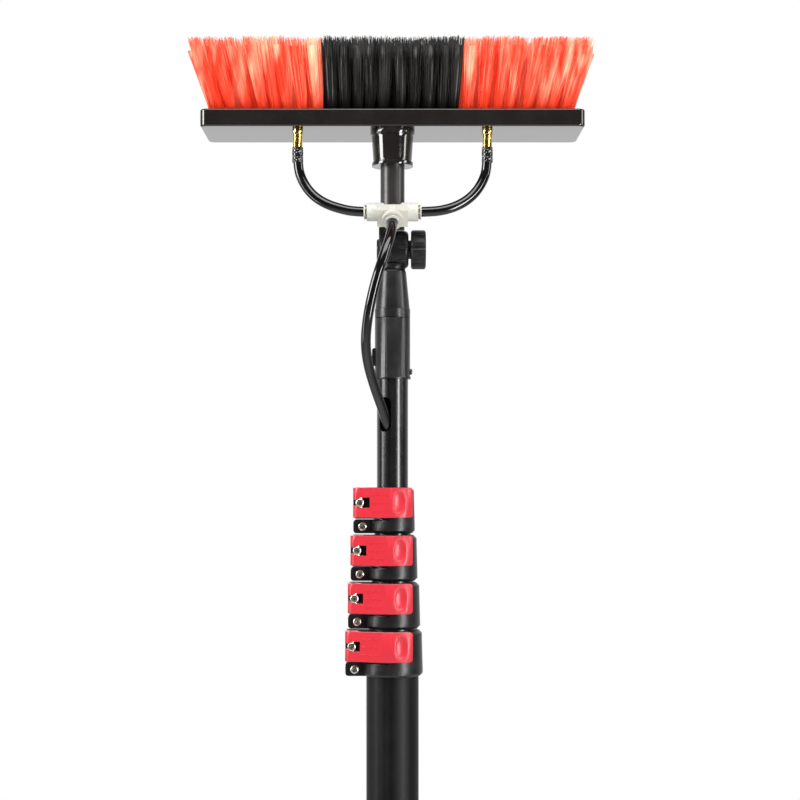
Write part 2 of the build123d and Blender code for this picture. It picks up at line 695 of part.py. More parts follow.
with BuildPart() as hinge_lower_half:
    with BuildSketch(hinge_plane.offset(face_x)):
        Circle(HINGE_R)
    extrude(amount=RIGHT_DISC)
    fillet(hinge_lower_half.edges().filter_by(GeomType.CIRCLE).sort_by(Axis.X)[-1], DISC_ROUND)
    with BuildSketch(hinge_plane.offset(face_x + SMOOTH_RIM)):
        with PolarLocations(HINGE_R + LOBE_R / 2, LOBES):
            Circle(LOBE_R)
    extrude(amount=RIGHT_DISC - SMOOTH_RIM, mode=Mode.SUBTRACT)
    # a saddle on the cone follows the other half's rim
    with BuildSketch(Plane.XY.offset(CONE_TOP)):
        Circle(CONE_TOP_R - CONE_STEP)
    extrude(amount=SADDLE_HEIGHT)
    with BuildSketch(hinge_plane.offset(face_x)):
        Circle(HINGE_R)
    extrude(amount=-HINGE_GAP, mode=Mode.SUBTRACT)
    with BuildSketch(hinge_plane.offset(face_x + SKIRT_GAP - HINGE_GAP)):
        Circle(HINGE_R + SADDLE_GAP)
    extrude(amount=-CONE_TOP_R, mode=Mode.SUBTRACT)
    with BuildSketch(hinge_plane.offset(face_x)):
        with PolarLocations(tooth_mid, TEETH):
            Rectangle(TOOTH_LENGTH, TOOTH_WIDTH)
    extrude(amount=-TOOTH_HEIGHT)
    # a thin skirt closes the gap round the teeth
    with BuildSketch(hinge_plane.offset(face_x)):
        Circle(HINGE_R)
        Circle(HINGE_R - SKIRT_WALL, mode=Mode.SUBTRACT)
    extrude(amount=SKIRT_GAP - HINGE_GAP)
    with BuildSketch(Plane.XY.offset(CONE_TOP)):
        with Locations(((face_x + LOWER_STEM_X) / 2, 0)):
            Rectangle(LOWER_STEM_X - face_x, 2 * LOWER_STEM_HALF)
    extrude(amount=HINGE_TO_CONE + HINGE_R / 2)
    with BuildSketch(Plane.XY.offset(CONE_TOP)):
        Circle(CONE_BORE_R - GLUE_LINE)
    extrude(amount=-(CONE_BORE_DEPTH - JOINT_LINE))
    with BuildSketch(hinge_plane):
        Circle(PIVOT_R + RUNNING_FIT)
    extrude(amount=right_x, mode=Mode.SUBTRACT)
hinge_lower_half.part.label = "hinge_lower_half"
export_step(hinge_lower_half.part, "parts/hinge_lower_half.step")

neck_bottom = HINGE_Z + HINGE_R + NECK_TO_HINGE
with BuildPart() as hinge_upper_half:
    with BuildSketch(hinge_plane.offset(-left_x)):
        Circle(HINGE_R)
    extrude(amount=LEFT_DISC)
    fillet(hinge_upper_half.edges().filter_by(GeomType.CIRCLE).sort_by(Axis.X)[0], DISC_ROUND)
    with BuildSketch(hinge_plane.offset(-face_x)):
        with PolarLocations(tooth_mid, TEETH):
            Rectangle(TOOTH_LENGTH, TOOTH_WIDTH)
    extrude(amount=TOOTH_HEIGHT)
    with BuildSketch(Plane.XY.offset(HINGE_Z + HINGE_R / 2)):
        with Locations((-(face_x + left_x) / 2, 0)):
            Rectangle(LEFT_DISC, 2 * UPPER_STEM_HALF)
    extrude(amount=HINGE_R / 2 + NECK_TO_HINGE)
    with BuildSketch(Plane.XY.offset(neck_bottom - NECK_FLOOR)):
        Circle(NECK_R)
    extrude(amount=NECK_FLOOR)
    with BuildSketch(Plane.XY.offset(neck_bottom)):
        Circle(NECK_BORE_R - GLUE_LINE)
    extrude(amount=SPIGOT_LENGTH)
    with BuildSketch(hinge_plane):
        Circle(PIVOT_R + RUNNING_FIT)
    extrude(amount=-left_x, mode=Mode.SUBTRACT)
hinge_upper_half.part.label = "hinge_upper_half"
export_step(hinge_upper_half.part, "parts/hinge_upper_half.step")

knob_left = right_x + WASHER_THICK + KNOB_GAP
knob_right = knob_left + KNOB_HUB + KNOB_THICK
pivot_end = knob_right - KNOB_FLOOR - KNOB_GAP
with BuildPart() as hinge_bolt:
    with BuildSketch(hinge_plane.offset(-left_x)):
        Circle(PIVOT_R)
    extrude(amount=left_x + pivot_end)
    with BuildSketch(hinge_plane.offset(-left_x)):
        Circle(PIVOT_HEAD_R)
    extrude(amount=-PIVOT_HEAD)
    fillet(hinge_bolt.edges().group_by(Axis.X)[0], PIVOT_HEAD * 0.7)
hinge_bolt.part.label = "hinge_bolt"
export_step(hinge_bolt.part, "parts/hinge_bolt.step")

with BuildPart() as hinge_washer:
    with BuildSketch(hinge_plane.offset(right_x)):
        Circle(WASHER_R)
        Circle(PIVOT_R + WASHER_CLEARANCE, mode=Mode.SUBTRACT)
    extrude(amount=WASHER_THICK)
hinge_washer.part.label = "hinge_washer"
export_step(hinge_washer.part, "parts/hinge_washer.step")

with BuildPart() as hinge_knob:
    with BuildSketch(hinge_plane.offset(knob_left + KNOB_HUB)):
        Circle(KNOB_R)
    extrude(amount=KNOB_THICK)
    chamfer(hinge_knob.edges().filter_by(GeomType.CIRCLE), KNOB_BEVEL)
    with BuildSketch(hinge_plane.offset(knob_left + KNOB_HUB)):
        with PolarLocations(KNOB_R + KNOB_LOBE_R * 0.6, KNOB_LOBES):
            Circle(KNOB_LOBE_R)
    extrude(amount=KNOB_THICK, mode=Mode.SUBTRACT)
    with BuildSketch(hinge_plane.offset(knob_left)):
        Circle(WASHER_R)
    extrude(amount=KNOB_HUB)
    with BuildSketch(hinge_plane.offset(knob_left)):
        Circle(PIVOT_R + RUNNING_FIT)
    extrude(amount=pivot_end + KNOB_GAP - knob_left, mode=Mode.SUBTRACT)
hinge_knob.part.label = "hinge_knob"
export_step(hinge_knob.part, "parts/hinge_knob.step")

# ================= neck and tee =================

neck_top = UNDERSIDE - SOCKET_FLOOR
with BuildPart() as neck_tube:
    with BuildSketch(Plane.XY.offset(neck_bottom)):
        Circle(NECK_R)
        Circle(NECK_BORE_R, mode=Mode.SUBTRACT)
    extrude(amount=neck_top - neck_bottom)
neck_tube.part.label = "neck_tube"
export_step(neck_tube.part, "parts/neck_tube.step")

tee_z = HINGE_Z + TEE_RISE
tee_at = (0, -TEE_FORWARD, tee_z)
tee_sin = math.sin(math.radians(TEE_TILT))
tee_cos = math.cos(math.radians(TEE_TILT))
port_dir = (0, -tee_cos, -tee_sin)
tee_plane = Plane(origin=tee_at, x_dir=(1, 0, 0), z_dir=(0, -tee_sin, tee_cos))
port_plane = Plane(origin=tee_at, x_dir=(1, 0, 0), z_dir=port_dir)
arm_plane = Plane(origin=tee_at, x_dir=(0, 1, 0), z_dir=(1, 0, 0))
port_planes = {
    "left": (Plane(origin=tee_at, x_dir=(0, 1, 0), z_dir=(-1, 0, 0)), ARM_LENGTH, ARM_SEAT),
    "right": (arm_plane, ARM_LENGTH, ARM_SEAT),
    "front": (port_plane, BARREL_LENGTH, BARREL_SEAT),
}

with BuildPart() as tee_body:
    with BuildSketch(arm_plane):
        Circle(ARM_R)
    extrude(amount=ARM_LENGTH, both=True)
    with BuildSketch(tee_plane):
        with Locations((0, -TEE_BLOCK_FRONT / 2)):
            Rectangle(TEE_BLOCK_WIDTH, TEE_BLOCK_FRONT)
    extrude(amount=ARM_R, both=True)
    with BuildSketch(port_plane):
        Circle(BARREL_R)
    extrude(amount=BARREL_LENGTH)
    # a shallow notch with sloping ends between the arms
    notch_floor = tee_z + ARM_R - TEE_NOTCH
    with BuildSketch(Plane.XZ):
        with BuildLine():
            Polyline(
                (-TEE_NOTCH_HALF, notch_floor),
                (TEE_NOTCH_HALF, notch_floor),
                (TEE_NOTCH_HALF + ARM_R, notch_floor + ARM_R),
                (-TEE_NOTCH_HALF - ARM_R, notch_floor + ARM_R),
                close=True,
            )
        make_face()
    extrude(amount=2 * TEE_FORWARD, mode=Mode.SUBTRACT)
    # the back is cut flat where the clip bears on it
    with BuildSketch(Plane.XZ.offset(TEE_FORWARD - TEE_BACK)):
        with Locations((0, tee_z)):
            Rectangle(3 * ARM_LENGTH, 4 * ARM_R)
    extrude(amount=-2 * ARM_R, mode=Mode.SUBTRACT)
    for plane, length, seat in port_planes.values():
        with BuildSketch(plane):
            Circle(WATERWAY_R)
        extrude(amount=length, mode=Mode.SUBTRACT)
        with BuildSketch(plane.offset(seat)):
            Circle(PORT_BORE_R)
        extrude(amount=length - seat, mode=Mode.SUBTRACT)
tee_body.part.label = "tee_body"
export_step(tee_body.part, "parts/tee_body.step")

with BuildPart() as tee_seals:
    for plane, length, seat in port_planes.values():
        with BuildSketch(plane.offset(seat)):
            Circle(PORT_BORE_R)
            Circle(HOSE_R, mode=Mode.SUBTRACT)
        extrude(amount=SEAL_THICK)
tee_seals.part.label = "tee_seals"
export_step(tee_seals.part, "parts/tee_seals.step")

for side, (plane, length, seat) in port_planes.items():
    collet_foot = seat + SEAL_THICK + COLLET_SEAL_GAP + COLLET_TRAVEL_GAP
    with BuildPart() as collet:
        with BuildSketch(plane.offset(collet_foot)):
            Circle(PORT_BORE_R - COLLET_FIT)
        extrude(amount=length + COLLET_TRAVEL_GAP - collet_foot)
        with BuildSketch(plane.offset(length + COLLET_TRAVEL_GAP)):
            Circle(COLLET_FLANGE_R)
        extrude(amount=COLLET_FLANGE)
        with BuildSketch(plane):
            Circle(HOSE_R + COLLET_FIT)
        extrude(amount=length + COLLET_TRAVEL_GAP + COLLET_FLANGE, mode=Mode.SUBTRACT)
    collet.part.label = f"collet_{side}"
    export_step(collet.part, f"parts/collet_{side}.step")

with BuildPart() as tee_clip:
    with BuildSketch(Plane.XY.offset(tee_z - CLIP_HEIGHT / 2)):
        Circle(NECK_R + CLIP_WALL)
        with Locations((0, -(TEE_FORWARD - TEE_BACK) / 2)):
            Rectangle(2 * CLIP_PAD_HALF, TEE_FORWARD - TEE_BACK)
        Circle(NECK_R + GLUE_LINE, mode=Mode.SUBTRACT)
        with Locations((0, NECK_R)):
            Rectangle(CLIP_MOUTH, 2 * CLIP_WALL + NECK_R, mode=Mode.SUBTRACT)
    extrude(amount=CLIP_HEIGHT)
tee_clip.part.label = "tee_clip"
export_step(tee_clip.part, "parts/tee_clip.step")

# ================= brush =================

with BuildPart() as brush_socket:
    with BuildSketch(Plane.XZ):
        with BuildLine():
            Polyline(
                (0, SOCKET_BOTTOM),
                (SOCKET_LIP_R, SOCKET_BOTTOM),
                (SOCKET_LIP_R, SOCKET_BOTTOM + SOCKET_LIP),
                (SOCKET_BODY_R, SOCKET_BOTTOM + SOCKET_LIP),
                (SOCKET_SHOULDER_R, UNDERSIDE - SOCKET_FLANGE),
                (SOCKET_FLANGE_R, UNDERSIDE - SOCKET_FLANGE),
                (SOCKET_FLANGE_R, UNDERSIDE),
                (0, UNDERSIDE),
                close=True,
            )
        make_face()
    revolve(axis=Axis.Z)
    with BuildSketch(Plane.XY.offset(SOCKET_BOTTOM)):
        Circle(NECK_R + GLUE_LINE)
    extrude(amount=SOCKET_HEIGHT - SOCKET_FLOOR, mode=Mode.SUBTRACT)
    with BuildSketch(Plane.XY.offset(UNDERSIDE)):
        with PolarLocations(SOCKET_SCREW_CIRCLE, SOCKET_SCREWS, start_angle=90):
            Circle(SOCKET_SCREW_R + GLUE_LINE)
    extrude(amount=-(SOCKET_SCREW_LENGTH - BLOCK_THICK + JOINT_LINE), mode=Mode.SUBTRACT)
brush_socket.part.label = "brush_socket"
export_step(brush_socket.part, "parts/brush_socket.step")

block_mid_y = BLOCK_DEPTH / 2 - BLOCK_FRONT
with BuildPart() as brush_block:
    with BuildSketch(Plane.XY.offset(UNDERSIDE)):
        with Locations((0, block_mid_y)):
            RectangleRounded(BLOCK_WIDTH, BLOCK_DEPTH, BLOCK_CORNER)
    extrude(amount=BLOCK_THICK)
    fillet(brush_block.edges().group_by(Axis.Z)[0], BLOCK_EDGE)
    fillet(brush_block.edges().group_by(Axis.Z)[-1], BLOCK_EDGE)
    with BuildSketch(Plane.XY.offset(UNDERSIDE)):
        with Locations((-JET_X, JET_Y), (JET_X, JET_Y)):
            Circle(JET_THREAD_R)
        with PolarLocations(SOCKET_SCREW_CIRCLE, SOCKET_SCREWS, start_angle=90):
            Circle(SOCKET_SCREW_R + GLUE_LINE)
    extrude(amount=BLOCK_THICK, mode=Mode.SUBTRACT)
    with BuildSketch(Plane.XY.offset(BLOCK_TOP)):
        with PolarLocations(SOCKET_SCREW_CIRCLE, SOCKET_SCREWS, start_angle=90):
            Circle(SOCKET_SCREW_HEAD_R + GLUE_LINE)
    extrude(amount=-SOCKET_SCREW_HEAD, mode=Mode.SUBTRACT)
brush_block.part.label = "brush_block"
export_step(brush_block.part, "parts/brush_block.step")

with BuildPart() as socket_screws:
    with BuildSketch(Plane.XY.offset(BLOCK_TOP)):
        with PolarLocations(SOCKET_SCREW_CIRCLE, SOCKET_SCREWS, start_angle=90):
            Circle(SOCKET_SCREW_R)
    extrude(amount=-SOCKET_SCREW_LENGTH)
    with BuildSketch(Plane.XY.offset(BLOCK_TOP)):
        with PolarLocations(SOCKET_SCREW_CIRCLE, SOCKET_SCREWS, start_angle=90):
            Circle(SOCKET_SCREW_HEAD_R)
    extrude(amount=-SOCKET_SCREW_HEAD)
socket_screws.part.label = "socket_screws"
export_step(socket_screws.part, "parts/socket_screws.step")

# bristle fields: the centre one is upright, the side ones lean outwards
field_y0 = BRISTLE_MARGIN - BLOCK_FRONT
field_y1 = BLOCK_DEPTH - BLOCK_FRONT - BRISTLE_MARGIN
side_x = BLOCK_WIDTH / 2 - BRISTLE_SIDE_MARGIN
inner_low = CENTRE_HALF + TUFT_GAP
inner_high = CENTRE_HALF + CENTRE_FLARE + TUFT_GAP
fields = {
    "bristles_left": ((-side_x, -inner_low), (-side_x - BRISTLE_FLARE_X, -inner_high)),
    "bristles_centre": (
        (-CENTRE_HALF, CENTRE_HALF),
        (-CENTRE_HALF - CENTRE_FLARE, CENTRE_HALF + CENTRE_FLARE),
    ),
    "bristles_right": ((inner_low, side_x), (inner_high, side_x + BRISTLE_FLARE_X)),
}
field_mid_y = (field_y0 + field_y1) / 2
for name, (low, high) in fields.items():
    with BuildPart() as bristles:
        with BuildSketch(Plane.XY.offset(BLOCK_TOP)):
            with Locations(((low[0] + low[1]) / 2, field_mid_y)):
                Rectangle(low[1] - low[0], field_y1 - field_y0)
        with BuildSketch(Plane.XY.offset(BLOCK_TOP + BRISTLE_LENGTH)):
            with Locations(((high[0] + high[1]) / 2, field_mid_y)):
                Rectangle(high[1] - high[0], field_y1 - field_y0 + 2 * BRISTLE_FLARE_Y)
        loft()
    bristles.part.label = name
    export_step(bristles.part, f"parts/{name}.step")

with BuildPart() as jet_fittings:
    with BuildSketch(Plane.XY.offset(UNDERSIDE)):
        with Locations((-JET_X, JET_Y), (JET_X, JET_Y)):
            Circle(JET_THREAD_R)
    extrude(amount=BLOCK_THICK)
    with BuildSketch(Plane.XY.offset(UNDERSIDE)):
        with Locations((-JET_X, JET_Y), (JET_X, JET_Y)):
            Circle(JET_RING_R)
    extrude(amount=-JET_RING)
    with BuildSketch(Plane.XY.offset(UNDERSIDE - JET_RING)):
        with Locations((-JET_X, JET_Y), (JET_X, JET_Y)):
            Circle(JET_BARREL_R)
    extrude(amount=-(JET_LENGTH - JET_RING))
    with BuildSketch(Plane.XY.offset(JET_BOTTOM)):
        with Locations((-JET_X, JET_Y), (JET_X, JET_Y)):
            Circle(JET_BORE_R)
    extrude(amount=JET_LENGTH + BLOCK_THICK, mode=Mode.SUBTRACT)
jet_fittings.part.label = "jet_fittings"
export_step(jet_fittings.part, "parts/jet_fittings.step")

with BuildPart() as jet_sleeves:
    with BuildSketch(Plane.XY.offset(JET_BOTTOM)):
        with Locations((-JET_X, JET_Y), (JET_X, JET_Y)):
            Circle(HOSE_R + SLEEVE_WALL)
            Circle(HOSE_R, mode=Mode.SUBTRACT)
    extrude(amount=-SLEEVE_LENGTH)
jet_sleeves.part.label = "jet_sleeves"
export_step(jet_sleeves.part, "parts/jet_sleeves.step")

# ================= hoses =================
# Each route is a list of points chosen by hand, as (x, y, height above the hinge axis).


def hose_route(points):
    return [(x, y, z + HINGE_Z) for x, y, z in points]


feed_route = hose_route(
    [
        (0, -26.29, 23.79),
        (0, -46.26, 8.74),
        (-6, -58.8, -10),
        (-13.5, -61.8, -33),
        (-19, -58, -57),
        (-21.5, -49.5, -78.5),
        (-19.5, -37, -96),
        (-13.6, -24.5, -115.4),
        (-6.8, -12.2, -133.4),
        (0, 0, -156.4),
        (0, 0, -179.4),
    ]
)
left_route = hose_route(
    [
        (-76.5, -11, 81),
        (-76.5, -11, 65),
        (-72.4, -12, 53),
        (-65.1, -14, 42.7),
        (-55.2, -17, 35.4),
        (-43.4, -20, 30.6),
        (-29.4, -21.5, 27.4),
        (-11, -21.5, 27.4),
    ]
)
right_route = hose_route(
    [
        (76.5, -11, 81),
        (76.5, -11, 64.4),
        (72.4, -12, 52.3),
        (65.1, -14, 42),
        (55.2, -17, 34.4),
        (43.4, -20, 29.5),
        (29.4, -21.5, 27.4),
        (11, -21.5, 27.4),
    ]
)

with BuildPart() as feed_hose:
    feed_radii = route_radii(feed_route)
    with BuildLine():
        feed_path = FilletPolyline(*feed_route, radius=feed_radii)
    with BuildSketch(Plane(origin=feed_route[0], z_dir=feed_path % 0)):
        Circle(HOSE_R)
    sweep(path=feed_path)
feed_hose.part.label = "feed_hose"
export_step(feed_hose.part, "parts/feed_hose.step")
report_hose("feed_hose", feed_path, feed_hose.part, feed_radii)

# inside the top section the hose runs straight down the middle
with BuildPart() as pole_hose:
    hose_top = feed_route[-1][2]
    with BuildSketch(Plane.XY.offset(hose_top)):
        Circle(HOSE_R)
    extrude(amount=section_bottom(SECTIONS) + POLE_HOSE_STOP - hose_top)
pole_hose.part.label = "pole_hose"
export_step(pole_hose.part, "parts/pole_hose.step")

with BuildPart() as jet_hose_left:
    left_radii = route_radii(left_route)
    with BuildLine():
        left_path = FilletPolyline(*left_route, radius=left_radii)
    with BuildSketch(Plane(origin=left_route[0], z_dir=left_path % 0)):
        Circle(HOSE_R)
    sweep(path=left_path)
jet_hose_left.part.label = "jet_hose_left"
export_step(jet_hose_left.part, "parts/jet_hose_left.step")
report_hose("jet_hose_left", left_path, jet_hose_left.part, left_radii)

with BuildPart() as jet_hose_right:
    right_radii = route_radii(right_route)
    with BuildLine():
        right_path = FilletPolyline(*right_route, radius=right_radii)
    with BuildSketch(Plane(origin=right_route[0], z_dir=right_path % 0)):
        Circle(HOSE_R)
    sweep(path=right_path)
jet_hose_right.part.label = "jet_hose_right"
export_step(jet_hose_right.part, "parts/jet_hose_right.step")
report_hose("jet_hose_right", right_path, jet_hose_right.part, right_radii)
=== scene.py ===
import math
import random

import bpy
from bpy.props import FloatProperty, FloatVectorProperty, IntProperty, PointerProperty
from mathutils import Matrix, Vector, noise


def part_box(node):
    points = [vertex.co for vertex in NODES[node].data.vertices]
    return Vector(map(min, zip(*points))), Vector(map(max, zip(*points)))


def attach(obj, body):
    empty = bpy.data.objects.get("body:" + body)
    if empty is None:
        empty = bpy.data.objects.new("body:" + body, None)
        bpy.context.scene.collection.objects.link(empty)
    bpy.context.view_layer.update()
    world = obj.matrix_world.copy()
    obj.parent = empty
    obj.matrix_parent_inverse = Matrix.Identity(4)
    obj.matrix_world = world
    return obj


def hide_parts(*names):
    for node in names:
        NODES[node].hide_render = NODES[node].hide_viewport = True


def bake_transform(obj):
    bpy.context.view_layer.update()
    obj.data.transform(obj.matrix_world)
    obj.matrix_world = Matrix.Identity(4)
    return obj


bl_info = {
    "name": "Window Cleaning Pole",
    "version": (1, 0, 0),
    "blender": (4, 5, 0),
    "location": "3D View > Sidebar > Cleaning Pole",
    "description": "Dresses a packed water-fed window cleaning pole with its bristles, hoses and finishes",
    "category": "Object",
}

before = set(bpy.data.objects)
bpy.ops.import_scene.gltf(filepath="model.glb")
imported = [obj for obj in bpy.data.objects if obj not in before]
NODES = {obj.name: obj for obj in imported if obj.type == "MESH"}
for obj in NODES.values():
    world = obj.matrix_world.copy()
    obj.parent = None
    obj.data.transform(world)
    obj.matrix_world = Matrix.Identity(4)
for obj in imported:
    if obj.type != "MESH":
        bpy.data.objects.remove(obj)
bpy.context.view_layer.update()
CLAMPS = range(1, 5)
SECTIONS = range(1, 6)
HINGE_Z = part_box("hinge_bolt")[0].z / 2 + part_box("hinge_bolt")[1].z / 2


# ---------------------------------------------------------------- settings


class FinishSettings(bpy.types.PropertyGroup):
    """Colours of the pole's parts, as linear values."""

    lever: FloatVectorProperty(
        name="Levers", description="Colour of the clamp levers", subtype="COLOR", default=(0.60, 0.026, 0.042)
    )
    bristle: FloatVectorProperty(
        name="Side Bristles", description="Colour of the outer bristle fields", subtype="COLOR",
        default=(0.90, 0.056, 0.018),
    )
    # painted highlight colour: the pale streaks blended into the side filaments' colour
    bristle_highlight_paint: FloatVectorProperty(
        name="Bristle Shine", description="Colour of the pale filaments among them", subtype="COLOR",
        default=(1.0, 0.58, 0.36),
    )
    centre: FloatVectorProperty(
        name="Centre Bristles", description="Colour of the middle bristle field", subtype="COLOR",
        default=(0.0055, 0.0046, 0.0042),
    )
    moulding: FloatVectorProperty(
        name="Mouldings", description="Colour of the collars, ferrule and hinge", subtype="COLOR",
        default=(0.0078, 0.0074, 0.0076),
    )
    fitting: FloatVectorProperty(
        name="Push-in Tee", description="Colour of the tee and its collets", subtype="COLOR",
        default=(0.56, 0.55, 0.49),
    )
    brass: FloatVectorProperty(
        name="Brass", description="Colour of the jet fittings", subtype="COLOR", default=(0.72, 0.50, 0.17)
    )
    hose: FloatVectorProperty(
        name="Hoses", description="Colour of the water hoses", subtype="COLOR",
        default=(0.0035, 0.0035, 0.0035),
    )
    tube: FloatVectorProperty(
        name="Pole Sections", description="Colour of the tubes", subtype="COLOR",
        default=(0.0058, 0.0054, 0.0056),
    )
    foam: FloatVectorProperty(
        name="Foam Grip", description="Colour of the handle's foam", subtype="COLOR",
        default=(0.0075, 0.0075, 0.008),
    )


class BristleSettings(bpy.types.PropertyGroup):
    """How the wash brush is filled."""

    rows: IntProperty(name="Rows", description="Rows of tufts from front to back", default=6, min=2, max=8)
    side_columns: IntProperty(
        name="Side Columns", description="Tufts along a side field", default=8, min=2, max=12
    )
    centre_columns: IntProperty(
        name="Centre Columns", description="Tufts along the middle field", default=10, min=2, max=14
    )
    filaments: IntProperty(
        name="Filaments", description="Filaments in one tuft", default=112, min=20, max=180
    )
    thickness: FloatProperty(
        name="Thickness", description="Diameter of a filament at its root", default=0.00056, min=0.0002,
        max=0.001, unit="LENGTH", precision=5,
    )
    unevenness: FloatProperty(
        name="Unevenness", description="How far the tips end at different heights", default=0.0026, min=0.0,
        max=0.006, unit="LENGTH", precision=4,
    )


class StageSettings(bpy.types.PropertyGroup):
    """Camera and light."""

    distance: FloatProperty(
        name="Camera Distance", description="From the camera to the pole's axis", default=1.343, unit="LENGTH"
    )
    height: FloatProperty(
        name="Camera Height", description="Height of the camera above the end cap", default=1.4508,
        unit="LENGTH",
    )
    key: FloatProperty(name="Key Light", description="Power of the left softbox", default=22.0, unit="POWER")
    strip: FloatProperty(
        name="Strip Light", description="Power of the right strip", default=20.0, unit="POWER"
    )
    backdrop: FloatProperty(
        name="Backdrop", description="Brightness of the surroundings", default=1.0, min=0.0
    )


class PoleSettings(bpy.types.PropertyGroup):
    """Everything a user may change."""

    finish: PointerProperty(type=FinishSettings)
    bristles: PointerProperty(type=BristleSettings)
    stage: PointerProperty(type=StageSettings)


# ---------------------------------------------------------------- meshes


def new_piece(name, points, faces, smooth=True):
    mesh = bpy.data.meshes.new(name)
    mesh.from_pydata(points, [], faces)
    mesh.shade_smooth() if smooth else mesh.shade_flat()
    mesh.update()
    piece = bpy.data.objects.new(name, mesh)
    bpy.context.scene.collection.objects.link(piece)
    return piece


def stitch_rings(rings, start=0, closed=False):
    """Quads between successive rings of equal count; closed joins the last ring to the first."""
    count = len(rings[0])
    faces = []
    pairs = list(range(len(rings) - 1)) + ([-1] if closed else [])
    for r in pairs:
        low = start + (r % len(rings)) * count
        high = start + ((r + 1) % len(rings)) * count
        for i in range(count):
            j = (i + 1) % count
            faces.append((low + i, low + j, high + j, high + i))
    return faces


def turned(name, outline, turns=64, centre=(0, 0, 0), turn=None, ripple=None):
    """A closed shell turned from an outline of (radius, height) points about Z, then turned and moved."""
    rings = []
    for radius, height in outline:
        ring = []
        for i in range(turns):
            angle = math.tau * i / turns
            r = radius + (ripple(angle, height) if ripple else 0.0)
            ring.append(Vector((r * math.cos(angle), r * math.sin(angle), height)))
        rings.append(ring)
    points = [p for ring in rings for p in ring]
    if turn:
        points = [turn @ p for p in points]
    points = [p + Vector(centre) for p in points]
    return new_piece(name, points, stitch_rings(rings, closed=True))


def route_line(name, points, steps=10):
    """The smooth line of a NURBS route, as evenly spaced points."""
    curve = bpy.data.curves.new(name + "_route", "CURVE")
    curve.dimensions = "3D"
    spline = curve.splines.new("NURBS")
    spline.points.add(len(points) - 1)
    for control, place in zip(spline.points, points):
        control.co = (*place, 1.0)
    spline.order_u = 3
    spline.use_endpoint_u = True
    spline.resolution_u = steps
    route = bpy.data.objects.new(name + "_route", curve)
    bpy.context.scene.collection.objects.link(route)
    bpy.context.view_layer.update()
    line = bpy.data.meshes.new_from_object(route)
    places = [v.co.copy() for v in line.vertices]
    bpy.data.objects.remove(route)
    bpy.data.curves.remove(curve)
    bpy.data.meshes.remove(line)
    return places


def hose_mesh(name, line, radius, sides=28):
    """A closed tube along a line, with its ring carried along without twist."""
    rings = []
    across = None
    for i, place in enumerate(line):
        ahead = (line[min(i + 1, len(line) - 1)] - line[max(i - 1, 0)]).normalized()
        across = ahead.orthogonal() if across is None else across - ahead * across.dot(ahead)
        across.normalize()
        other = ahead.cross(across)
        ring = []
        for s in range(sides):
            angle = math.tau * s / sides
            ring.append(place + (across * math.cos(angle) + other * math.sin(angle)) * radius)
        rings.append(ring)
    faces = stitch_rings(rings)
    faces.append(tuple(reversed(range(sides))))
    last = (len(rings) - 1) * sides
    faces.append(tuple(range(last, last + sides)))
    return new_piece(name, [p for ring in rings for p in ring], faces)


def soften(node, width, segments=2, angle=42):
    """Rounds a CAD node's sharp edges, as moulded and machined parts have them."""
    piece = NODES[node]
    weld = piece.modifiers.new("weld", "WELD")
    weld.merge_threshold = 1e-6
    bevel = piece.modifiers.new("edges", "BEVEL")
    bevel.width = width
    bevel.segments = segments
    bevel.limit_method = "ANGLE"
    bevel.angle_limit = math.radians(angle)
    bevel.harden_normals = True
    bevel.miter_outer = "MITER_ARC"


def crisp(node, angle=25):
    """Keeps a CAD node's shallow steps sharp under smooth shading."""
    piece = NODES[node]
    weld = piece.modifiers.new("weld", "WELD")
    weld.merge_threshold = 1e-6
    split = piece.modifiers.new("steps", "EDGE_SPLIT")
    split.split_angle = math.radians(angle)


def dress(material, *pieces):
    """Gives a material to pieces or to CAD nodes named by their node."""
    for piece in pieces:
        target = NODES[piece] if isinstance(piece, str) else piece
        target.data.materials.clear()
        target.data.materials.append(material)


# ---------------------------------------------------------------- shading


def add(tree, kind, sockets=None, **settings):
    node = tree.nodes.new(kind)
    for key, value in settings.items():
        setattr(node, key, value)
    for key, value in (sockets or {}).items():
        node.inputs[key].default_value = value
    return node


def remap(tree, source, from_low, from_high, to_low, to_high):
    node = add(
        tree, "ShaderNodeMapRange",
        {"From Min": from_low, "From Max": from_high, "To Min": to_low, "To Max": to_high},
    )
    tree.links.new(source, node.inputs["Value"])
    return node.outputs["Result"]


def blend_colours(tree, factor, first, second):
    """Mixes two colours, each a socket or a plain value."""
    node = add(tree, "ShaderNodeMix", data_type="RGBA")
    tree.links.new(factor, node.inputs["Factor"])
    for label, value in (("A", first), ("B", second)):
        socket = next(s for s in node.inputs if s.name == label and s.type == "RGBA")
        if isinstance(value, bpy.types.NodeSocket):
            tree.links.new(value, socket)
        else:
            socket.default_value = (*value[:3], 1.0)
    return next(s for s in node.outputs if s.type == "RGBA")


def new_group(name, inputs, outputs):
    tree = bpy.data.node_groups.new(name, "ShaderNodeTree")
    for label, kind, default in inputs:
        socket = tree.interface.new_socket(label, in_out="INPUT", socket_type=kind)
        socket.default_value = default
    for label, kind in outputs:
        tree.interface.new_socket(label, in_out="OUTPUT", socket_type=kind)
    return tree, tree.nodes.new("NodeGroupInput"), tree.nodes.new("NodeGroupOutput")


NUMBER = "NodeSocketFloat"


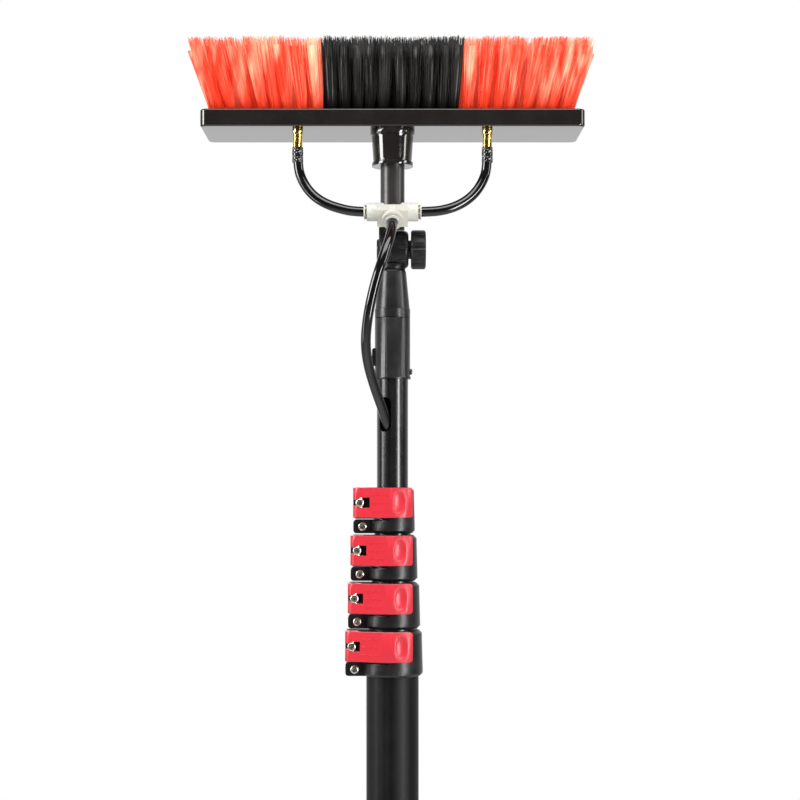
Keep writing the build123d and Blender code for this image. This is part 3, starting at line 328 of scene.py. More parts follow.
def make_grain():
    """Fine texture of a moulded or foamed skin: a height and a slow mottle, both from 0 to 1."""
    tree, source, result = new_group(
        "Moulded Grain", [("Fineness", NUMBER, 900.0), ("Patch Scale", NUMBER, 18.0)],
        [("Height", NUMBER), ("Mottle", NUMBER)],
    )
    place = add(tree, "ShaderNodeTexCoord").outputs["Object"]
    fine = add(tree, "ShaderNodeTexNoise", {"Detail": 3.0, "Roughness": 0.6})
    slow = add(tree, "ShaderNodeTexNoise", {"Detail": 5.0, "Roughness": 0.62})
    for node, scale in ((fine, "Fineness"), (slow, "Patch Scale")):
        tree.links.new(place, node.inputs["Vector"])
        tree.links.new(source.outputs[scale], node.inputs["Scale"])
    tree.links.new(fine.outputs["Fac"], result.inputs["Height"])
    tree.links.new(remap(tree, slow.outputs["Fac"], 0.32, 0.68, 0.0, 1.0), result.inputs["Mottle"])
    return tree


def make_streaks():
    """Lines that run up the pole: drawn tube, brushed metal or combed filament."""
    tree, source, result = new_group(
        "Lengthwise Streaks", [("Across", NUMBER, 700.0), ("Along", NUMBER, 8.0)],
        [("Height", NUMBER), ("Band", NUMBER)],
    )
    place = add(tree, "ShaderNodeTexCoord").outputs["Object"]
    size = add(tree, "ShaderNodeCombineXYZ")
    for axis, label in (("X", "Across"), ("Y", "Across"), ("Z", "Along")):
        tree.links.new(source.outputs[label], size.inputs[axis])
    stretched = add(tree, "ShaderNodeVectorMath", operation="MULTIPLY")
    tree.links.new(place, stretched.inputs[0])
    tree.links.new(size.outputs["Vector"], stretched.inputs[1])
    fine = add(tree, "ShaderNodeTexNoise", {"Scale": 1.0, "Detail": 2.0})
    band = add(tree, "ShaderNodeTexNoise", {"Scale": 0.23, "Detail": 3.0})
    for node in (fine, band):
        tree.links.new(stretched.outputs["Vector"], node.inputs["Vector"])
    tree.links.new(fine.outputs["Fac"], result.inputs["Height"])
    tree.links.new(remap(tree, band.outputs["Fac"], 0.35, 0.65, 0.0, 1.0), result.inputs["Band"])
    return tree


def make_wear():
    """Where hands and ladders rub: outer edges, broken up by a coarse noise."""
    tree, source, result = new_group(
        "Rubbed Edges", [("Amount", NUMBER, 0.5), ("Break-up", NUMBER, 220.0)], [("Mask", NUMBER)]
    )
    edge = remap(tree, add(tree, "ShaderNodeNewGeometry").outputs["Pointiness"], 0.515, 0.60, 0.0, 1.0)
    patch = add(tree, "ShaderNodeTexNoise", {"Detail": 4.0})
    tree.links.new(add(tree, "ShaderNodeTexCoord").outputs["Object"], patch.inputs["Vector"])
    tree.links.new(source.outputs["Break-up"], patch.inputs["Scale"])
    broken = remap(tree, patch.outputs["Fac"], 0.40, 0.62, 0.0, 1.0)
    first = add(tree, "ShaderNodeMath", operation="MULTIPLY")
    tree.links.new(edge, first.inputs[0])
    tree.links.new(broken, first.inputs[1])
    second = add(tree, "ShaderNodeMath", operation="MULTIPLY")
    tree.links.new(first.outputs["Value"], second.inputs[0])
    tree.links.new(source.outputs["Amount"], second.inputs[1])
    tree.links.new(second.outputs["Value"], result.inputs["Mask"])
    return tree


def make_dust():
    """A thin film of dust and finger marks, as one mask."""
    tree, source, result = new_group(
        "Dust Film", [("Amount", NUMBER, 0.3), ("Scale", NUMBER, 60.0)], [("Mask", NUMBER)]
    )
    place = add(tree, "ShaderNodeTexCoord").outputs["Object"]
    film = add(tree, "ShaderNodeTexNoise", {"Detail": 6.0, "Roughness": 0.7})
    tree.links.new(place, film.inputs["Vector"])
    tree.links.new(source.outputs["Scale"], film.inputs["Scale"])
    scaled = add(tree, "ShaderNodeMath", operation="MULTIPLY")
    tree.links.new(remap(tree, film.outputs["Fac"], 0.45, 0.75, 0.0, 1.0), scaled.inputs[0])
    tree.links.new(source.outputs["Amount"], scaled.inputs[1])
    tree.links.new(scaled.outputs["Value"], result.inputs["Mask"])
    return tree


GROUP_MAKERS = {"grain": make_grain, "streaks": make_streaks, "wear": make_wear, "dust": make_dust}
groups = {}


def use_group(tree, kind, **values):
    if kind not in groups:
        groups[kind] = GROUP_MAKERS[kind]()
    node = add(tree, "ShaderNodeGroup", node_tree=groups[kind])
    for label, value in values.items():
        node.inputs[label.replace("_", " ")].default_value = value
    return node


def new_material(name, roughness, **sockets):
    material = bpy.data.materials.new(name)
    material.use_nodes = True
    tree = material.node_tree
    surface = tree.nodes["Principled BSDF"]
    surface.inputs["Roughness"].default_value = roughness
    for label, value in sockets.items():
        surface.inputs[label.replace("_", " ")].default_value = value
    return material, tree, surface


def raise_height(tree, surface, height, depth):
    bump = add(tree, "ShaderNodeBump", {"Strength": 1.0, "Distance": depth})
    tree.links.new(height, bump.inputs["Height"])
    tree.links.new(bump.outputs["Normal"], surface.inputs["Normal"])


def moulded(name, colour, roughness, fineness=900.0, depth=0.00003, mottle=0.12, wear=0.3, worn=None,
            dust=0.25, spread=0.08, upper=None, **sockets):
    """A moulded plastic, rubber or foam: grain in the skin, mottle in the colour, rubbed edges, dust, and,
    where upper is given, a painted highlight on faces that look up.
    """
    material, tree, surface = new_material(name, roughness, **sockets)
    grain = use_group(tree, "grain", Fineness=fineness, Patch_Scale=24.0)
    darker = [c * (1.0 - mottle) for c in colour]
    lighter = [min(1.0, c * (1.0 + mottle)) for c in colour]
    skin = blend_colours(tree, grain.outputs["Mottle"], darker, lighter)
    rubbed = use_group(tree, "wear", Amount=wear)
    worn = worn or [min(1.0, c * 1.8 + 0.02) for c in colour]
    skin = blend_colours(tree, rubbed.outputs["Mask"], skin, worn)
    # painted highlight: faces that look up are blended towards the upper colour, as light from above would
    # brighten them
    if upper:
        split = add(tree, "ShaderNodeSeparateXYZ")
        tree.links.new(add(tree, "ShaderNodeNewGeometry").outputs["True Normal"], split.inputs["Vector"])
        skin = blend_colours(tree, remap(tree, split.outputs["Z"], 0.28, 0.6, 0.0, 1.0), skin, upper)
    film = use_group(tree, "dust", Amount=dust)
    dusty = [c * 0.88 + 0.012 for c in colour]
    tree.links.new(blend_colours(tree, film.outputs["Mask"], skin, dusty), surface.inputs["Base Color"])
    tree.links.new(
        remap(tree, film.outputs["Mask"], 0.0, 1.0, roughness - spread / 2, roughness + spread * 2),
        surface.inputs["Roughness"],
    )
    raise_height(tree, surface, grain.outputs["Height"], depth)
    return material


def drawn(name, colour, roughness, across=700.0, along=8.0, depth=0.00001, contrast=0.25, spread=0.08,
          **sockets):
    """A drawn, wound or brushed tube: fine lines up the pole in height, colour and gloss."""
    material, tree, surface = new_material(name, roughness, **sockets)
    lines = use_group(tree, "streaks", Across=across, Along=along)
    low = [c * (1.0 - contrast) for c in colour]
    high = [min(1.0, c * (1.0 + contrast)) for c in colour]
    skin = blend_colours(tree, lines.outputs["Band"], low, high)
    film = use_group(tree, "dust", Amount=0.35, Scale=35.0)
    pale = [min(1.0, c * 1.15 + 0.01) for c in colour]
    tree.links.new(blend_colours(tree, film.outputs["Mask"], skin, pale), surface.inputs["Base Color"])
    gloss = add(tree, "ShaderNodeMath", operation="ADD")
    tree.links.new(remap(tree, lines.outputs["Band"], 0, 1, roughness - spread, roughness), gloss.inputs[0])
    tree.links.new(remap(tree, film.outputs["Mask"], 0, 1, 0.0, spread * 2), gloss.inputs[1])
    tree.links.new(gloss.outputs["Value"], surface.inputs["Roughness"])
    raise_height(tree, surface, lines.outputs["Height"], depth)
    return material


def filament(name, colour, light, root_z, tip_z, glow):
    """Nylon filament: each one a little different, with painted highlights as pale streaks that fade out
    towards the root, where the plain colour is lifted a little as painted light against the shade among the
    tufts.
    """
    material, tree, surface = new_material(name, 0.42, Specular_IOR_Level=0.45)
    lines = use_group(tree, "streaks", Across=640.0, Along=9.0)
    each = add(tree, "ShaderNodeNewGeometry").outputs["Random Per Island"]
    broad = use_group(tree, "streaks", Across=300.0, Along=5.0)
    # painted highlight: random filaments and broad streaks are blended towards the pale light colour
    shine = add(tree, "ShaderNodeMath", operation="MULTIPLY_ADD", use_clamp=True)
    tree.links.new(remap(tree, each, 0.2, 1.0, 0.0, 0.7), shine.inputs[0])
    tree.links.new(remap(tree, lines.outputs["Band"], 0.25, 0.85, 0.02, 1.0), shine.inputs[1])
    tree.links.new(remap(tree, broad.outputs["Band"], 0.5, 1.0, 0.0, 0.8), shine.inputs[2])
    strand = blend_colours(tree, shine.outputs["Value"], colour, light)
    # painted light at the root: the lower part takes the plain colour lifted by 6 %, against the shade among
    # the tufts
    split = add(tree, "ShaderNodeSeparateXYZ")
    tree.links.new(add(tree, "ShaderNodeTexCoord").outputs["Object"], split.inputs["Vector"])
    depth = remap(tree, split.outputs["Z"], root_z, root_z + (tip_z - root_z) * 0.55, 1.0, 0.0)
    shade = [min(1.0, c * 1.06) for c in colour]
    skin = blend_colours(tree, depth, strand, shade)
    tree.links.new(skin, surface.inputs["Base Color"])
    # painted glow: the filament's own colour as emission, standing in for light that the translucent nylon
    # passes on from behind
    tree.links.new(skin, surface.inputs["Emission Color"])
    surface.inputs["Emission Strength"].default_value = glow
    tree.links.new(remap(tree, each, 0.0, 1.0, 0.34, 0.52), surface.inputs["Roughness"])
    raise_height(tree, surface, lines.outputs["Height"], 0.00002)
    return material


# ---------------------------------------------------------------- operators


class PoleStep(bpy.types.Operator):
    """Shared parts of the steps that dress the pole."""

    bl_idname = "cleaning_pole.step"
    bl_label = "Pole Step"
    bl_options = {"REGISTER", "UNDO"}

    def execute(self, context):
        self.make(context.scene.cleaning_pole)
        return {"FINISHED"}


FLOOR_SIZE = 4.3
FLOOR_DROP = 0.002
FLOOR_GLOW = 0.62
FRAME_WIDTH = 800  # the framing offsets below are fractions of this width
HORIZON_OFFSET = 65 / FRAME_WIDTH
AXIS_OFFSET = 7.5 / FRAME_WIDTH


class StageStep(PoleStep):
    """Make the camera, the floor and the studio light"""

    bl_idname = "cleaning_pole.stage"
    bl_label = "Stage"

    def make(self, settings):
        stage = settings.stage
        self.camera(stage)
        self.floor()
        self.surroundings(stage)
        aim = (0, 0, stage.height + 0.05)
        self.softbox("left_light", (-1.5, -0.62, 2.0), aim, (0.6, 0.8), stage.key)
        self.softbox("left_low_light", (-1.6, -0.35, 1.15), aim, (0.4, 0.9), stage.key * 0.3)
        self.softbox("right_light", (1.15, -1.1, 1.25), aim, (0.34, 1.05), stage.strip)
        self.softbox("right_high_light", (1.55, -0.4, 2.05), aim, (0.3, 0.8), stage.strip * 0.35)
        self.softbox("top_light", (0.0, -0.8, 3.0), aim, (1.8, 0.9), stage.key * 1.2)
        self.softbox("front_fill", (-0.3, -2.6, 2.5), aim, (1.2, 0.8), stage.key * 0.9, mirrored=False)

    def camera(self, stage):
        data = bpy.data.cameras.new("camera")
        data.lens = 74.25
        data.sensor_width = 36.0
        data.shift_x = AXIS_OFFSET
        data.shift_y = HORIZON_OFFSET
        data.clip_start = 0.05
        data.clip_end = 60.0
        camera = bpy.data.objects.new("camera", data)
        camera.location = (0, -stage.distance, stage.height)
        camera.rotation_euler = (math.radians(90), 0, 0)
        bpy.context.scene.collection.objects.link(camera)
        bpy.context.scene.camera = camera

    def floor(self):
        signs = ((-1, -1), (1, -1), (1, 1), (-1, 1))
        corners = [(x * FLOOR_SIZE, y * FLOOR_SIZE, -FLOOR_DROP) for x, y in signs]
        floor = new_piece("floor", corners, [(0, 1, 2, 3)], smooth=False)
        material, tree, surface = new_material("pale floor", 0.6)
        grain = use_group(tree, "grain", Fineness=40.0, Patch_Scale=1.5)
        paper = blend_colours(tree, grain.outputs["Mottle"], (0.86, 0.86, 0.86), (0.88, 0.88, 0.88))
        tree.links.new(paper, surface.inputs["Base Color"])
        # the far floor stays pale in the picture without lighting the pole
        tree.links.new(paper, surface.inputs["Emission Color"])
        seen = add(tree, "ShaderNodeLightPath").outputs["Is Camera Ray"]
        tree.links.new(remap(tree, seen, 0.0, 1.0, 0.0, FLOOR_GLOW), surface.inputs["Emission Strength"])
        dress(material, floor)

    def surroundings(self, stage):
        """A bright sweep behind and below the object, and a darker room on the camera's side."""
        world = bpy.data.worlds.new("studio")
        bpy.context.scene.world = world
        world.use_nodes = True
        tree = world.node_tree
        sky = tree.nodes["Background"]
        split = add(tree, "ShaderNodeSeparateXYZ")
        tree.links.new(add(tree, "ShaderNodeTexCoord").outputs["Generated"], split.inputs["Vector"])
        behind = remap(tree, split.outputs["Y"], 0.1, 0.95, 0.035, 0.95)
        seen = add(tree, "ShaderNodeLightPath").outputs["Is Camera Ray"]
        shade = blend_colours(tree, behind, (0.0, 0.0, 0.0), (1.0, 1.0, 1.0))
        tree.links.new(blend_colours(tree, seen, shade, (1.0, 1.0, 1.0)), sky.inputs["Color"])
        sky.inputs["Strength"].default_value = stage.backdrop
        bpy.context.scene.view_settings.view_transform = "Standard"

    def softbox(self, name, place, aim, size, power, mirrored=True):
        data = bpy.data.lights.new(name, "AREA")
        data.shape = "RECTANGLE"
        data.size, data.size_y = size
        data.energy = power
        light = bpy.data.objects.new(name, data)
        light.location = place
        light.visible_glossy = mirrored
        light.rotation_euler = (Vector(aim) - Vector(place)).to_track_quat("-Z", "Y").to_euler()
        bpy.context.scene.collection.objects.link(light)


HOSE_RADIUS = 0.004
# control points of each hose: x, y and the height above the tilt hinge, in metres
FEED_ROUTE = [
    (0, -0.02629, 0.02379),
    (0, -0.04626, 0.00874),
    (-0.006, -0.0588, -0.01),
    (-0.0135, -0.0618, -0.033),
    (-0.019, -0.058, -0.057),
    (-0.0215, -0.0495, -0.0785),
    (-0.0195, -0.037, -0.096),
    (-0.0136, -0.0245, -0.1154),
    (-0.0068, -0.0122, -0.1334),
    (0, 0, -0.1564),
    (0, 0, -0.1794),
]
LEFT_ROUTE = [
    (-0.0765, -0.011, 0.081),
    (-0.0765, -0.011, 0.065),
    (-0.0724, -0.012, 0.053),
    (-0.0651, -0.014, 0.0427),
    (-0.0552, -0.017, 0.0354),
    (-0.0434, -0.02, 0.0306),
    (-0.0294, -0.0215, 0.0274),
    (-0.011, -0.0215, 0.0274),
]
RIGHT_ROUTE = [
    (0.0765, -0.011, 0.081),
    (0.0765, -0.011, 0.0644),
    (0.0724, -0.012, 0.0523),
    (0.0651, -0.014, 0.042),
    (0.0552, -0.017, 0.0344),
    (0.0434, -0.02, 0.0295),
    (0.0294, -0.0215, 0.0274),
    (0.011, -0.0215, 0.0274),
]


class HoseStep(PoleStep):
    """Make the feed hose and the two jet hoses"""

    bl_idname = "cleaning_pole.hoses"
    bl_label = "Hoses"

    def make(self, settings):
        colour = list(settings.finish.hose)
        rubber = moulded("hose", colour, 0.13, fineness=120.0, depth=0.0000004, mottle=0.2, wear=0.0,
                         dust=0.25, spread=0.03, Coat_Weight=0.4, Coat_Roughness=0.05)
        for name, node, route in (
            ("feed_line", "feed_hose", FEED_ROUTE),
            ("jet_line_left", "jet_hose_left", LEFT_ROUTE),
            ("jet_line_right", "jet_hose_right", RIGHT_ROUTE),
        ):
            points = [(x, y, z + HINGE_Z) for x, y, z in route]
            line = route_line(name, points)
            hose = hose_mesh(name, line, HOSE_RADIUS)
            dress(rubber, hose)
            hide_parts(node)
            if node == "feed_hose":
                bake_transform(hose)
            else:
                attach(hose, "head")
        dress(rubber, "pole_hose")


TUFT_RADIUS = 0.0040
TUFT_SPREAD = 0.0072
RINGS_PER_FILAMENT = 4
STRAY_SHARE = 0.14  # of a tuft's filaments, how many lean out of it
FIELD_MARGIN = 0.0004  # how far a tip may stand out of its field


class BristleStep(PoleStep):
    """Fill the wash brush with tufts of nylon filament"""

    bl_idname = "cleaning_pole.bristles"
    bl_label = "Bristles"

    def make(self, settings):
        brush = settings.bristles
        looks = settings.finish
        low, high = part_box("bristles_centre")
        orange = filament("orange filament", looks.bristle, looks.bristle_highlight_paint, low.z, high.z, glow=0.16)
        # the black filaments get grey painted highlights the same way
        black = filament("black filament", looks.centre, (0.034, 0.031, 0.029), low.z, high.z, glow=0.05)
        fields = (
            ("left", brush.side_columns, orange, "bristle_orange"),
            ("centre", brush.centre_columns, black, "bristle_black"),
            ("right", brush.side_columns, orange, "bristle_orange"),
        )
        for seed, (side, columns, material, slot) in enumerate(fields):
            node = f"bristles_{side}"
            piece = self.field(f"tufts_{side}", node, columns, brush, random.Random(11 + seed))
            dress(material, piece)
            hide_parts(node)
            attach(piece, "head")

    def field(self, name, node, columns, brush, rng):
        """One field of tufts that keeps to its CAD solid's root and tip outlines."""
        corners = [v.co for v in NODES[node].data.vertices]
        base_z = min(c.z for c in corners)
        tip_z = max(c.z for c in corners)
        roots = [c for c in corners if c.z < base_z + 1e-5]
        tips = [c for c in corners if c.z > tip_z - 1e-5]
        x0, x1 = min(c.x for c in roots), max(c.x for c in roots)
        y0, y1 = min(c.y for c in roots), max(c.y for c in roots)
        u0, u1 = min(c.x for c in tips), max(c.x for c in tips)
        v0, v1 = min(c.y for c in tips), max(c.y for c in tips)
        points, faces = [], []
        for row in range(brush.rows):
            for column in range(columns):
                along = (column + 0.12 + 0.76 * ((row * 0.618 + 0.5) % 1.0)) / columns
                across = (row + 0.5) / brush.rows
                along += rng.uniform(-0.02, 0.02)
                root = Vector((x0 + (x1 - x0) * along, y0 + (y1 - y0) * across, base_z))
                top = Vector((u0 + (u1 - u0) * along, v0 + (v1 - v0) * across, tip_z))
                top.x += rng.uniform(-0.0012, 0.0012)
                top.y += rng.uniform(-0.001, 0.001)
                limits = ((u0, u1), (v0, v1))
                self.tuft(points, faces, root, top, limits, brush, rng)
        return new_piece(name, points, faces)

    def tuft(self, points, faces, root, top, limits, brush, rng):
        drop = rng.uniform(0.0002, brush.unevenness * 0.45)
        self.strand(points, faces, root, top - Vector((0, 0, 0.007 + drop)), TUFT_RADIUS * 0.9,
                    TUFT_SPREAD * 0.62, 8, Vector((0, 0, 0)))
        for _ in range(brush.filaments):
            angle = rng.uniform(0, math.tau)
            reach = math.sqrt(rng.random())
            direction = Vector((math.cos(angle), math.sin(angle), 0))
            start = root + direction * (TUFT_RADIUS * reach)
            fan = TUFT_SPREAD * reach * rng.uniform(0.86, 1.18)
            end = top + direction * fan
            stray = rng.random() < STRAY_SHARE
            if stray:
                end += Vector((rng.uniform(-0.004, 0.004), rng.uniform(-0.004, 0.004), 0))
            end.z -= drop + brush.unevenness * rng.random() ** 2 + (0.001 if stray else 0.0)
            (u0, u1), (v0, v1) = limits
            end.x = min(max(end.x, u0 - FIELD_MARGIN), u1 + FIELD_MARGIN)
            end.y = min(max(end.y, v0 - FIELD_MARGIN), v1 + FIELD_MARGIN)
            bow = direction * rng.uniform(-0.0006, 0.0008) + Vector((rng.uniform(-0.0005, 0.0005), 0, 0))
            self.strand(points, faces, start, end, brush.thickness / 2, brush.thickness * 0.36, 3, bow)

    def strand(self, points, faces, start, end, thick, thin, sides, bow):
        first = len(points)
        for r in range(RINGS_PER_FILAMENT):
            t = r / (RINGS_PER_FILAMENT - 1)
            middle = start.lerp(end, t) + bow * (4 * t * (1 - t))
            radius = thick + (thin - thick) * t
            for s in range(sides):
                angle = math.tau * s / sides
                points.append(middle + Vector((radius * math.cos(angle), radius * math.sin(angle), 0)))
        for r in range(RINGS_PER_FILAMENT - 1):
            low = first + r * sides
            for s in range(sides):
                n = (s + 1) % sides
                faces.append((low + s, low + n, low + n + sides, low + s + sides))
        top = first + (RINGS_PER_FILAMENT - 1) * sides
        faces.append(tuple(range(top, top + sides)))
        faces.append(tuple(reversed(range(first, first + sides))))


SLEEVE_RADIUS = 0.0045
SLEEVE_LIP = 0.0044
SLEEVE_BORE = 0.00412
DIMPLE_DEPTH = 0.00036
GLINT_DEPTH = 0.00012  # the bottom of a dimple, below this depth, takes a painted pale glint


class BrushStep(PoleStep):
    """Finish the brush block, its socket, the jets and their dimpled sleeves"""

    bl_idname = "cleaning_pole.brush"
    bl_label = "Brush"

    def make(self, settings):
        looks = settings.finish
        gloss = moulded("block gloss", (0.011, 0.0095, 0.0085), 0.11, fineness=160.0, depth=0.00004,
                        wear=0.25, dust=0.4, spread=0.05, Coat_Weight=0.5, Coat_Roughness=0.05)
        soften("brush_socket", 0.0006)
        dress(gloss, "brush_block", "brush_socket")
        brass = drawn("turned brass", list(looks.brass), 0.24, across=60.0, along=1800.0, depth=0.000004,
                      contrast=0.16, Metallic=1.0)
        soften("jet_fittings", 0.0003)
        dress(brass, "jet_fittings")
        steel = drawn("zinc plate", (0.55, 0.54, 0.52), 0.3, across=500.0, along=400.0, Metallic=1.0)
        dress(steel, "socket_screws")
        rubber = moulded("sleeve rubber", (0.009, 0.009, 0.009), 0.15, depth=0.000002, wear=0.0, dust=0.2,
                         Coat_Weight=0.8, Coat_Roughness=0.08)
        # painted glints: a pale material for the bottoms of the dimples
        glint = moulded("painted dimple glints", (0.66, 0.66, 0.64), 0.3, wear=0.0, dust=0.1)
        low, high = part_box("jet_sleeves")
        for side, x in (("left", low.x + SLEEVE_RADIUS), ("right", high.x - SLEEVE_RADIUS)):
            sleeve = self.sleeve(f"dimpled_sleeve_{side}", (x, (low.y + high.y) / 2, low.z), high.z - low.z)
            dress(rubber, sleeve)
            sleeve.data.materials.append(glint)
            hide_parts("jet_sleeves")
            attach(sleeve, "head")

    def sleeve(self, name, foot, height):
        """A thin sleeve with staggered dimples all round."""
        dimples, rows, turns, steps = 8, 4, 112, 60

        def ripple(angle, z):
            row = (z / height) * rows
            shift = 0.5 if int(row) % 2 else 0.0
            u = (angle / math.tau * dimples + shift) % 1.0 - 0.5
            v = row % 1.0 - 0.5
            hollow = max(0.0, 1.0 - (u * u + v * v) / 0.13)
            return -DIMPLE_DEPTH * hollow

        outer = [(SLEEVE_RADIUS, height * i / steps) for i in range(1, steps)]
        foot_rings = [(SLEEVE_BORE, 0.0), (SLEEVE_LIP, 0.0)]
        rings = foot_rings + outer + [(SLEEVE_LIP, height), (SLEEVE_BORE, height)]

        def only_skin(angle, z):
            return ripple(angle, z) if 0.0004 < z < height - 0.0004 else 0.0

        sleeve = turned(name, rings, turns, foot, ripple=only_skin)
        # faces at the bottom of a dimple take the painted glint material
        for face in sleeve.data.polygons:
            middle = face.center - Vector(foot)
            outside = math.hypot(middle.x, middle.y) > 0.0041
            angle = math.atan2(middle.y, middle.x) % math.tau
            if outside and only_skin(angle, middle.z) < -GLINT_DEPTH:
                face.material_index = 1
        return sleeve


TEE_CENTRE = Vector((0, -0.0215, HINGE_Z + 0.0274))
TEE_TILT = math.radians(37)  # how far the front port points down
SIDE_MOUTH = 0.0206  # from the tee's centre to the mouth of a port
FRONT_MOUTH = 0.015
BAND_OUTLINE = [(0.00563, 0.0001), (0.00567, 0.0001), (0.00567, 0.00122), (0.00563, 0.00122)]


class NeckStep(PoleStep):
    """Finish the neck tube, the push-in tee with its collets, and the clip"""

    bl_idname = "cleaning_pole.neck"
    bl_label = "Neck and Tee"

    def make(self, settings):
        looks = settings.finish
        alloy = drawn("anodised neck", (0.055, 0.052, 0.05), 0.38, across=900.0, along=10.0, depth=0.000008,
                      contrast=0.2, Metallic=0.55)
        dress(alloy, "neck_tube")
        nylon = moulded("clip nylon", list(looks.moulding), 0.4)
        soften("tee_clip", 0.0004)
        dress(nylon, "tee_clip")
        ivory = moulded("ivory nylon", list(looks.fitting), 0.36, fineness=700.0, depth=0.00002, mottle=0.05,
                        wear=0.5, worn=(0.8, 0.79, 0.72), dust=0.5, Subsurface_Weight=0.06,
                        Subsurface_Scale=0.002)
        soften("tee_body", 0.0007, segments=3)
        dress(ivory, "tee_body")
        dress(moulded("seal rubber", (0.01, 0.01, 0.01), 0.4), "tee_seals")
        brass = drawn("collet brass", (0.36, 0.29, 0.17), 0.24, across=60.0, along=1500.0, contrast=0.1,
                      Metallic=1.0)
        down = Vector((0, -math.cos(TEE_TILT), -math.sin(TEE_TILT)))
        for side, out, mouth in (
            ("left", Vector((-1, 0, 0)), SIDE_MOUTH),
            ("right", Vector((1, 0, 0)), SIDE_MOUTH),
            ("front", down, FRONT_MOUTH),
        ):
            soften(f"collet_{side}", 0.0003)
            dress(ivory, f"collet_{side}")
            aim = Vector((0, 0, 1)).rotation_difference(out).to_matrix()
            band = turned(f"collet_band_{side}", BAND_OUTLINE, 48, TEE_CENTRE + out * mouth, aim)
            dress(brass, band)
            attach(band, f"collet_{side}")


class HingeStep(PoleStep):
    """Finish the toothed tilt hinge, its bolt and its knob"""

    bl_idname = "cleaning_pole.hinge"
    bl_label = "Tilt Hinge"

    def make(self, settings):
        colour = list(settings.finish.moulding)
        nylon = moulded("hinge nylon", colour, 0.38, fineness=800.0, depth=0.000035, wear=0.3, dust=0.3,
                        Specular_IOR_Level=0.3)
        soften("hinge_lower_half", 0.0005)
        soften("hinge_upper_half", 0.0005)
        soften("hinge_knob", 0.0006)
        dress(nylon, "hinge_lower_half", "hinge_upper_half", "hinge_knob")
        steel = drawn("bolt steel", (0.05, 0.05, 0.052), 0.34, across=500.0, along=400.0, Metallic=1.0)
        dress(steel, "hinge_bolt", "hinge_washer")


class FerruleStep(PoleStep):
    """Finish the ferrule, the adaptor cone and the snap button"""

    bl_idname = "cleaning_pole.ferrule"
    bl_label = "Ferrule"

    def make(self, settings):
        colour = [c * 1.25 for c in settings.finish.moulding]
        nylon = moulded("ferrule nylon", colour, 0.34, fineness=650.0, depth=0.00003, wear=0.35, dust=0.5,
                        spread=0.1)
        soften("ferrule", 0.0003)
        crisp("adaptor_cone")
        dress(nylon, "ferrule", "adaptor_cone")
        steel = drawn("button steel", (0.09, 0.09, 0.09), 0.32, across=500.0, along=400.0, Metallic=1.0)
        dress(steel, "snap_button", "button_spring")


class ClampStep(PoleStep):
    """Finish the four lever clamps"""

    bl_idname = "cleaning_pole.clamps"
    bl_label = "Lever Clamps"

    def make(self, settings):
        looks = settings.finish
        nylon = moulded("collar nylon", list(looks.moulding), 0.37, fineness=700.0, depth=0.00004, wear=0.45,
                        dust=0.5)
        # the levers' upward faces, their top bevels and the tops of the grip dashes, get a painted pink
        # highlight
        red = moulded("lever nylon", list(looks.lever), 0.36, fineness=700.0, depth=0.000015, mottle=0.03,
                      wear=0.0, upper=(1.0, 0.42, 0.44), dust=0.05, Subsurface_Weight=0.05,
                      Subsurface_Scale=0.002)
        liner = moulded("liner acetal", (0.13, 0.13, 0.13), 0.4)
        steel = drawn("screw steel", (0.84, 0.79, 0.72), 0.33, across=900.0, along=300.0, contrast=0.1,
                      Metallic=1.0)
        for k in CLAMPS:
            soften(f"clamp_{k}_collar", 0.0004)
            soften(f"clamp_{k}_lever", 0.0005)
            soften(f"clamp_{k}_screws", 0.0002)
            dress(nylon, f"clamp_{k}_collar")
            dress(red, f"clamp_{k}_lever")
            dress(liner, f"clamp_{k}_liner")
            dress(steel, f"clamp_{k}_barrel_pin", f"clamp_{k}_screws")


class TubeStep(PoleStep):
    """Finish the five pole sections and their guide bushes"""

    bl_idname = "cleaning_pole.tubes"
    bl_label = "Pole Sections"

    def make(self, settings):
        colour = list(settings.finish.tube)
        carbon = drawn("inner sections", colour, 0.27, across=1100.0, along=6.0, depth=0.000006, contrast=0.3,
                       spread=0.05, Coat_Weight=0.3, Coat_Roughness=0.16)
        satin = drawn("base section", colour, 0.48, across=1100.0, along=6.0, depth=0.000008, contrast=0.3,
                      spread=0.07, Specular_IOR_Level=0.2)
        bush = moulded("bush acetal", (0.03, 0.03, 0.03), 0.42)
        for k in SECTIONS:
            dress(satin if k == 1 else carbon, f"tube_{k}")
            if k > 1:
                dress(bush, f"guide_bush_{k}")


FOAM_ROUND = 0.0055
FOAM_STEPS = 190
ARC_STEPS = 8


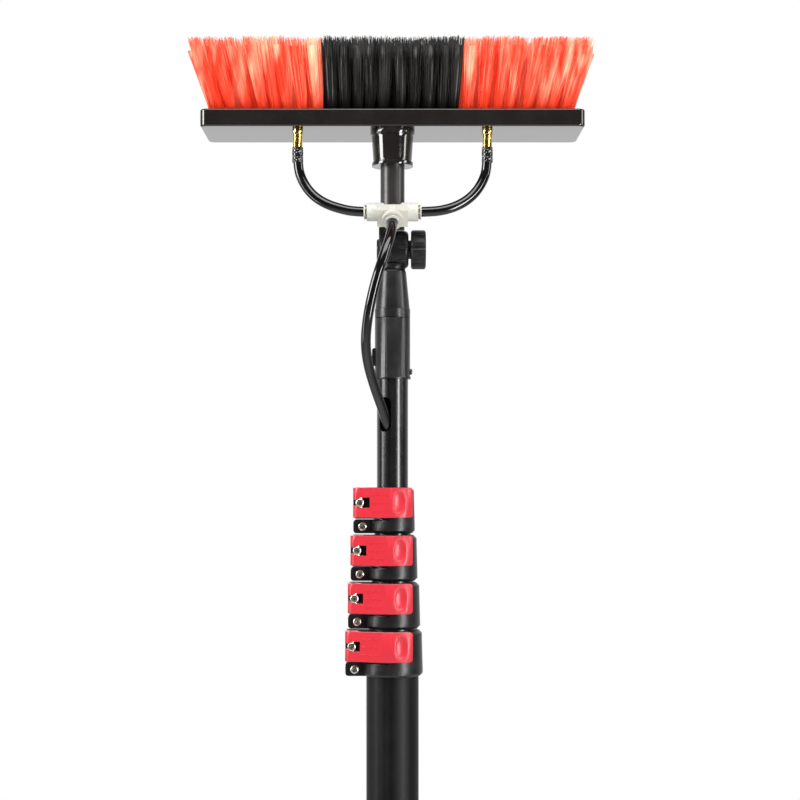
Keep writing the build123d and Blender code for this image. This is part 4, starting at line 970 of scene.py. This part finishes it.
class HandleStep(PoleStep):
    """Make the foam grip and finish the end cap"""

    bl_idname = "cleaning_pole.handle"
    bl_label = "Handle"

    def make(self, settings):
        grip = self.grip()
        foam = moulded("closed-cell foam", list(settings.finish.foam), 0.93, fineness=1300.0, depth=0.00022,
                       mottle=0.35, wear=0.1, dust=0.7, spread=0.04, Sheen_Weight=0.12, Sheen_Roughness=0.5,
                       Specular_IOR_Level=0.25)
        dress(foam, grip)
        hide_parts("foam_grip")
        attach(grip, "base")
        soften("end_cap", 0.0004)
        dress(moulded("cap nylon", list(settings.finish.moulding), 0.42, wear=0.6, dust=0.6), "end_cap")

    def grip(self):
        """A foam sleeve with rolled ends and the slight unevenness of foam cut to length."""
        low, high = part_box("foam_grip")
        outer, bore = high.x - 0.0004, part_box("tube_1")[1].x + 0.0001
        outline = [(bore, low.z), (bore + 0.001, low.z)]
        corner = []
        for i in range(ARC_STEPS + 1):
            angle = math.pi / 2 * i / ARC_STEPS
            inset = FOAM_ROUND * (1 - math.sin(angle))
            corner.append((outer - inset, FOAM_ROUND * (1 - math.cos(angle))))
        outline += [(radius, low.z + rise) for radius, rise in corner]
        span = high.z - low.z - 2 * FOAM_ROUND
        for i in range(1, FOAM_STEPS):
            outline.append((outer, low.z + FOAM_ROUND + span * i / FOAM_STEPS))
        outline += [(radius, high.z - rise) for radius, rise in reversed(corner)]
        outline += [(bore + 0.001, high.z), (bore, high.z)]

        def uneven(angle, z):
            place = Vector((math.cos(angle) * 0.028, math.sin(angle) * 0.028, z))
            inside = 0.0 if z < low.z + 0.0001 or z > high.z - 0.0001 else 1.0
            return inside * (0.00022 * noise.noise(place * 60) + 0.00012 * noise.noise(place * 210))

        return turned("foam_sleeve", outline, 96, ripple=uneven)


class PolePanel(bpy.types.Panel):
    """Lists the steps and what can be changed"""

    bl_idname = "VIEW3D_PT_cleaning_pole"
    bl_label = "Cleaning Pole"
    bl_space_type = "VIEW_3D"
    bl_region_type = "UI"
    bl_category = "Cleaning Pole"

    def draw(self, context):
        settings = context.scene.cleaning_pole
        for part in (settings.stage, settings.bristles, settings.finish):
            box = self.layout.box()
            for name in part.bl_rna.properties.keys():
                if name not in {"rna_type", "name"}:
                    box.prop(part, name)
        for step in STEPS:
            self.layout.operator(step.bl_idname)


STEPS = (
    StageStep, HoseStep, BristleStep, BrushStep, NeckStep, HingeStep, FerruleStep, ClampStep, TubeStep,
    HandleStep,
)
CLASSES = (FinishSettings, BristleSettings, StageSettings, PoleSettings, *STEPS, PolePanel)


def register():
    for cls in CLASSES:
        bpy.utils.register_class(cls)
    bpy.types.Scene.cleaning_pole = PointerProperty(type=PoleSettings)


def unregister():
    del bpy.types.Scene.cleaning_pole
    for cls in reversed(CLASSES):
        bpy.utils.unregister_class(cls)


def main():
    register()
    for step in STEPS:
        group, name = step.bl_idname.split(".")
        getattr(getattr(bpy.ops, group), name)()
    bpy.context.view_layer.update()


if __name__ == "__main__":
    main()
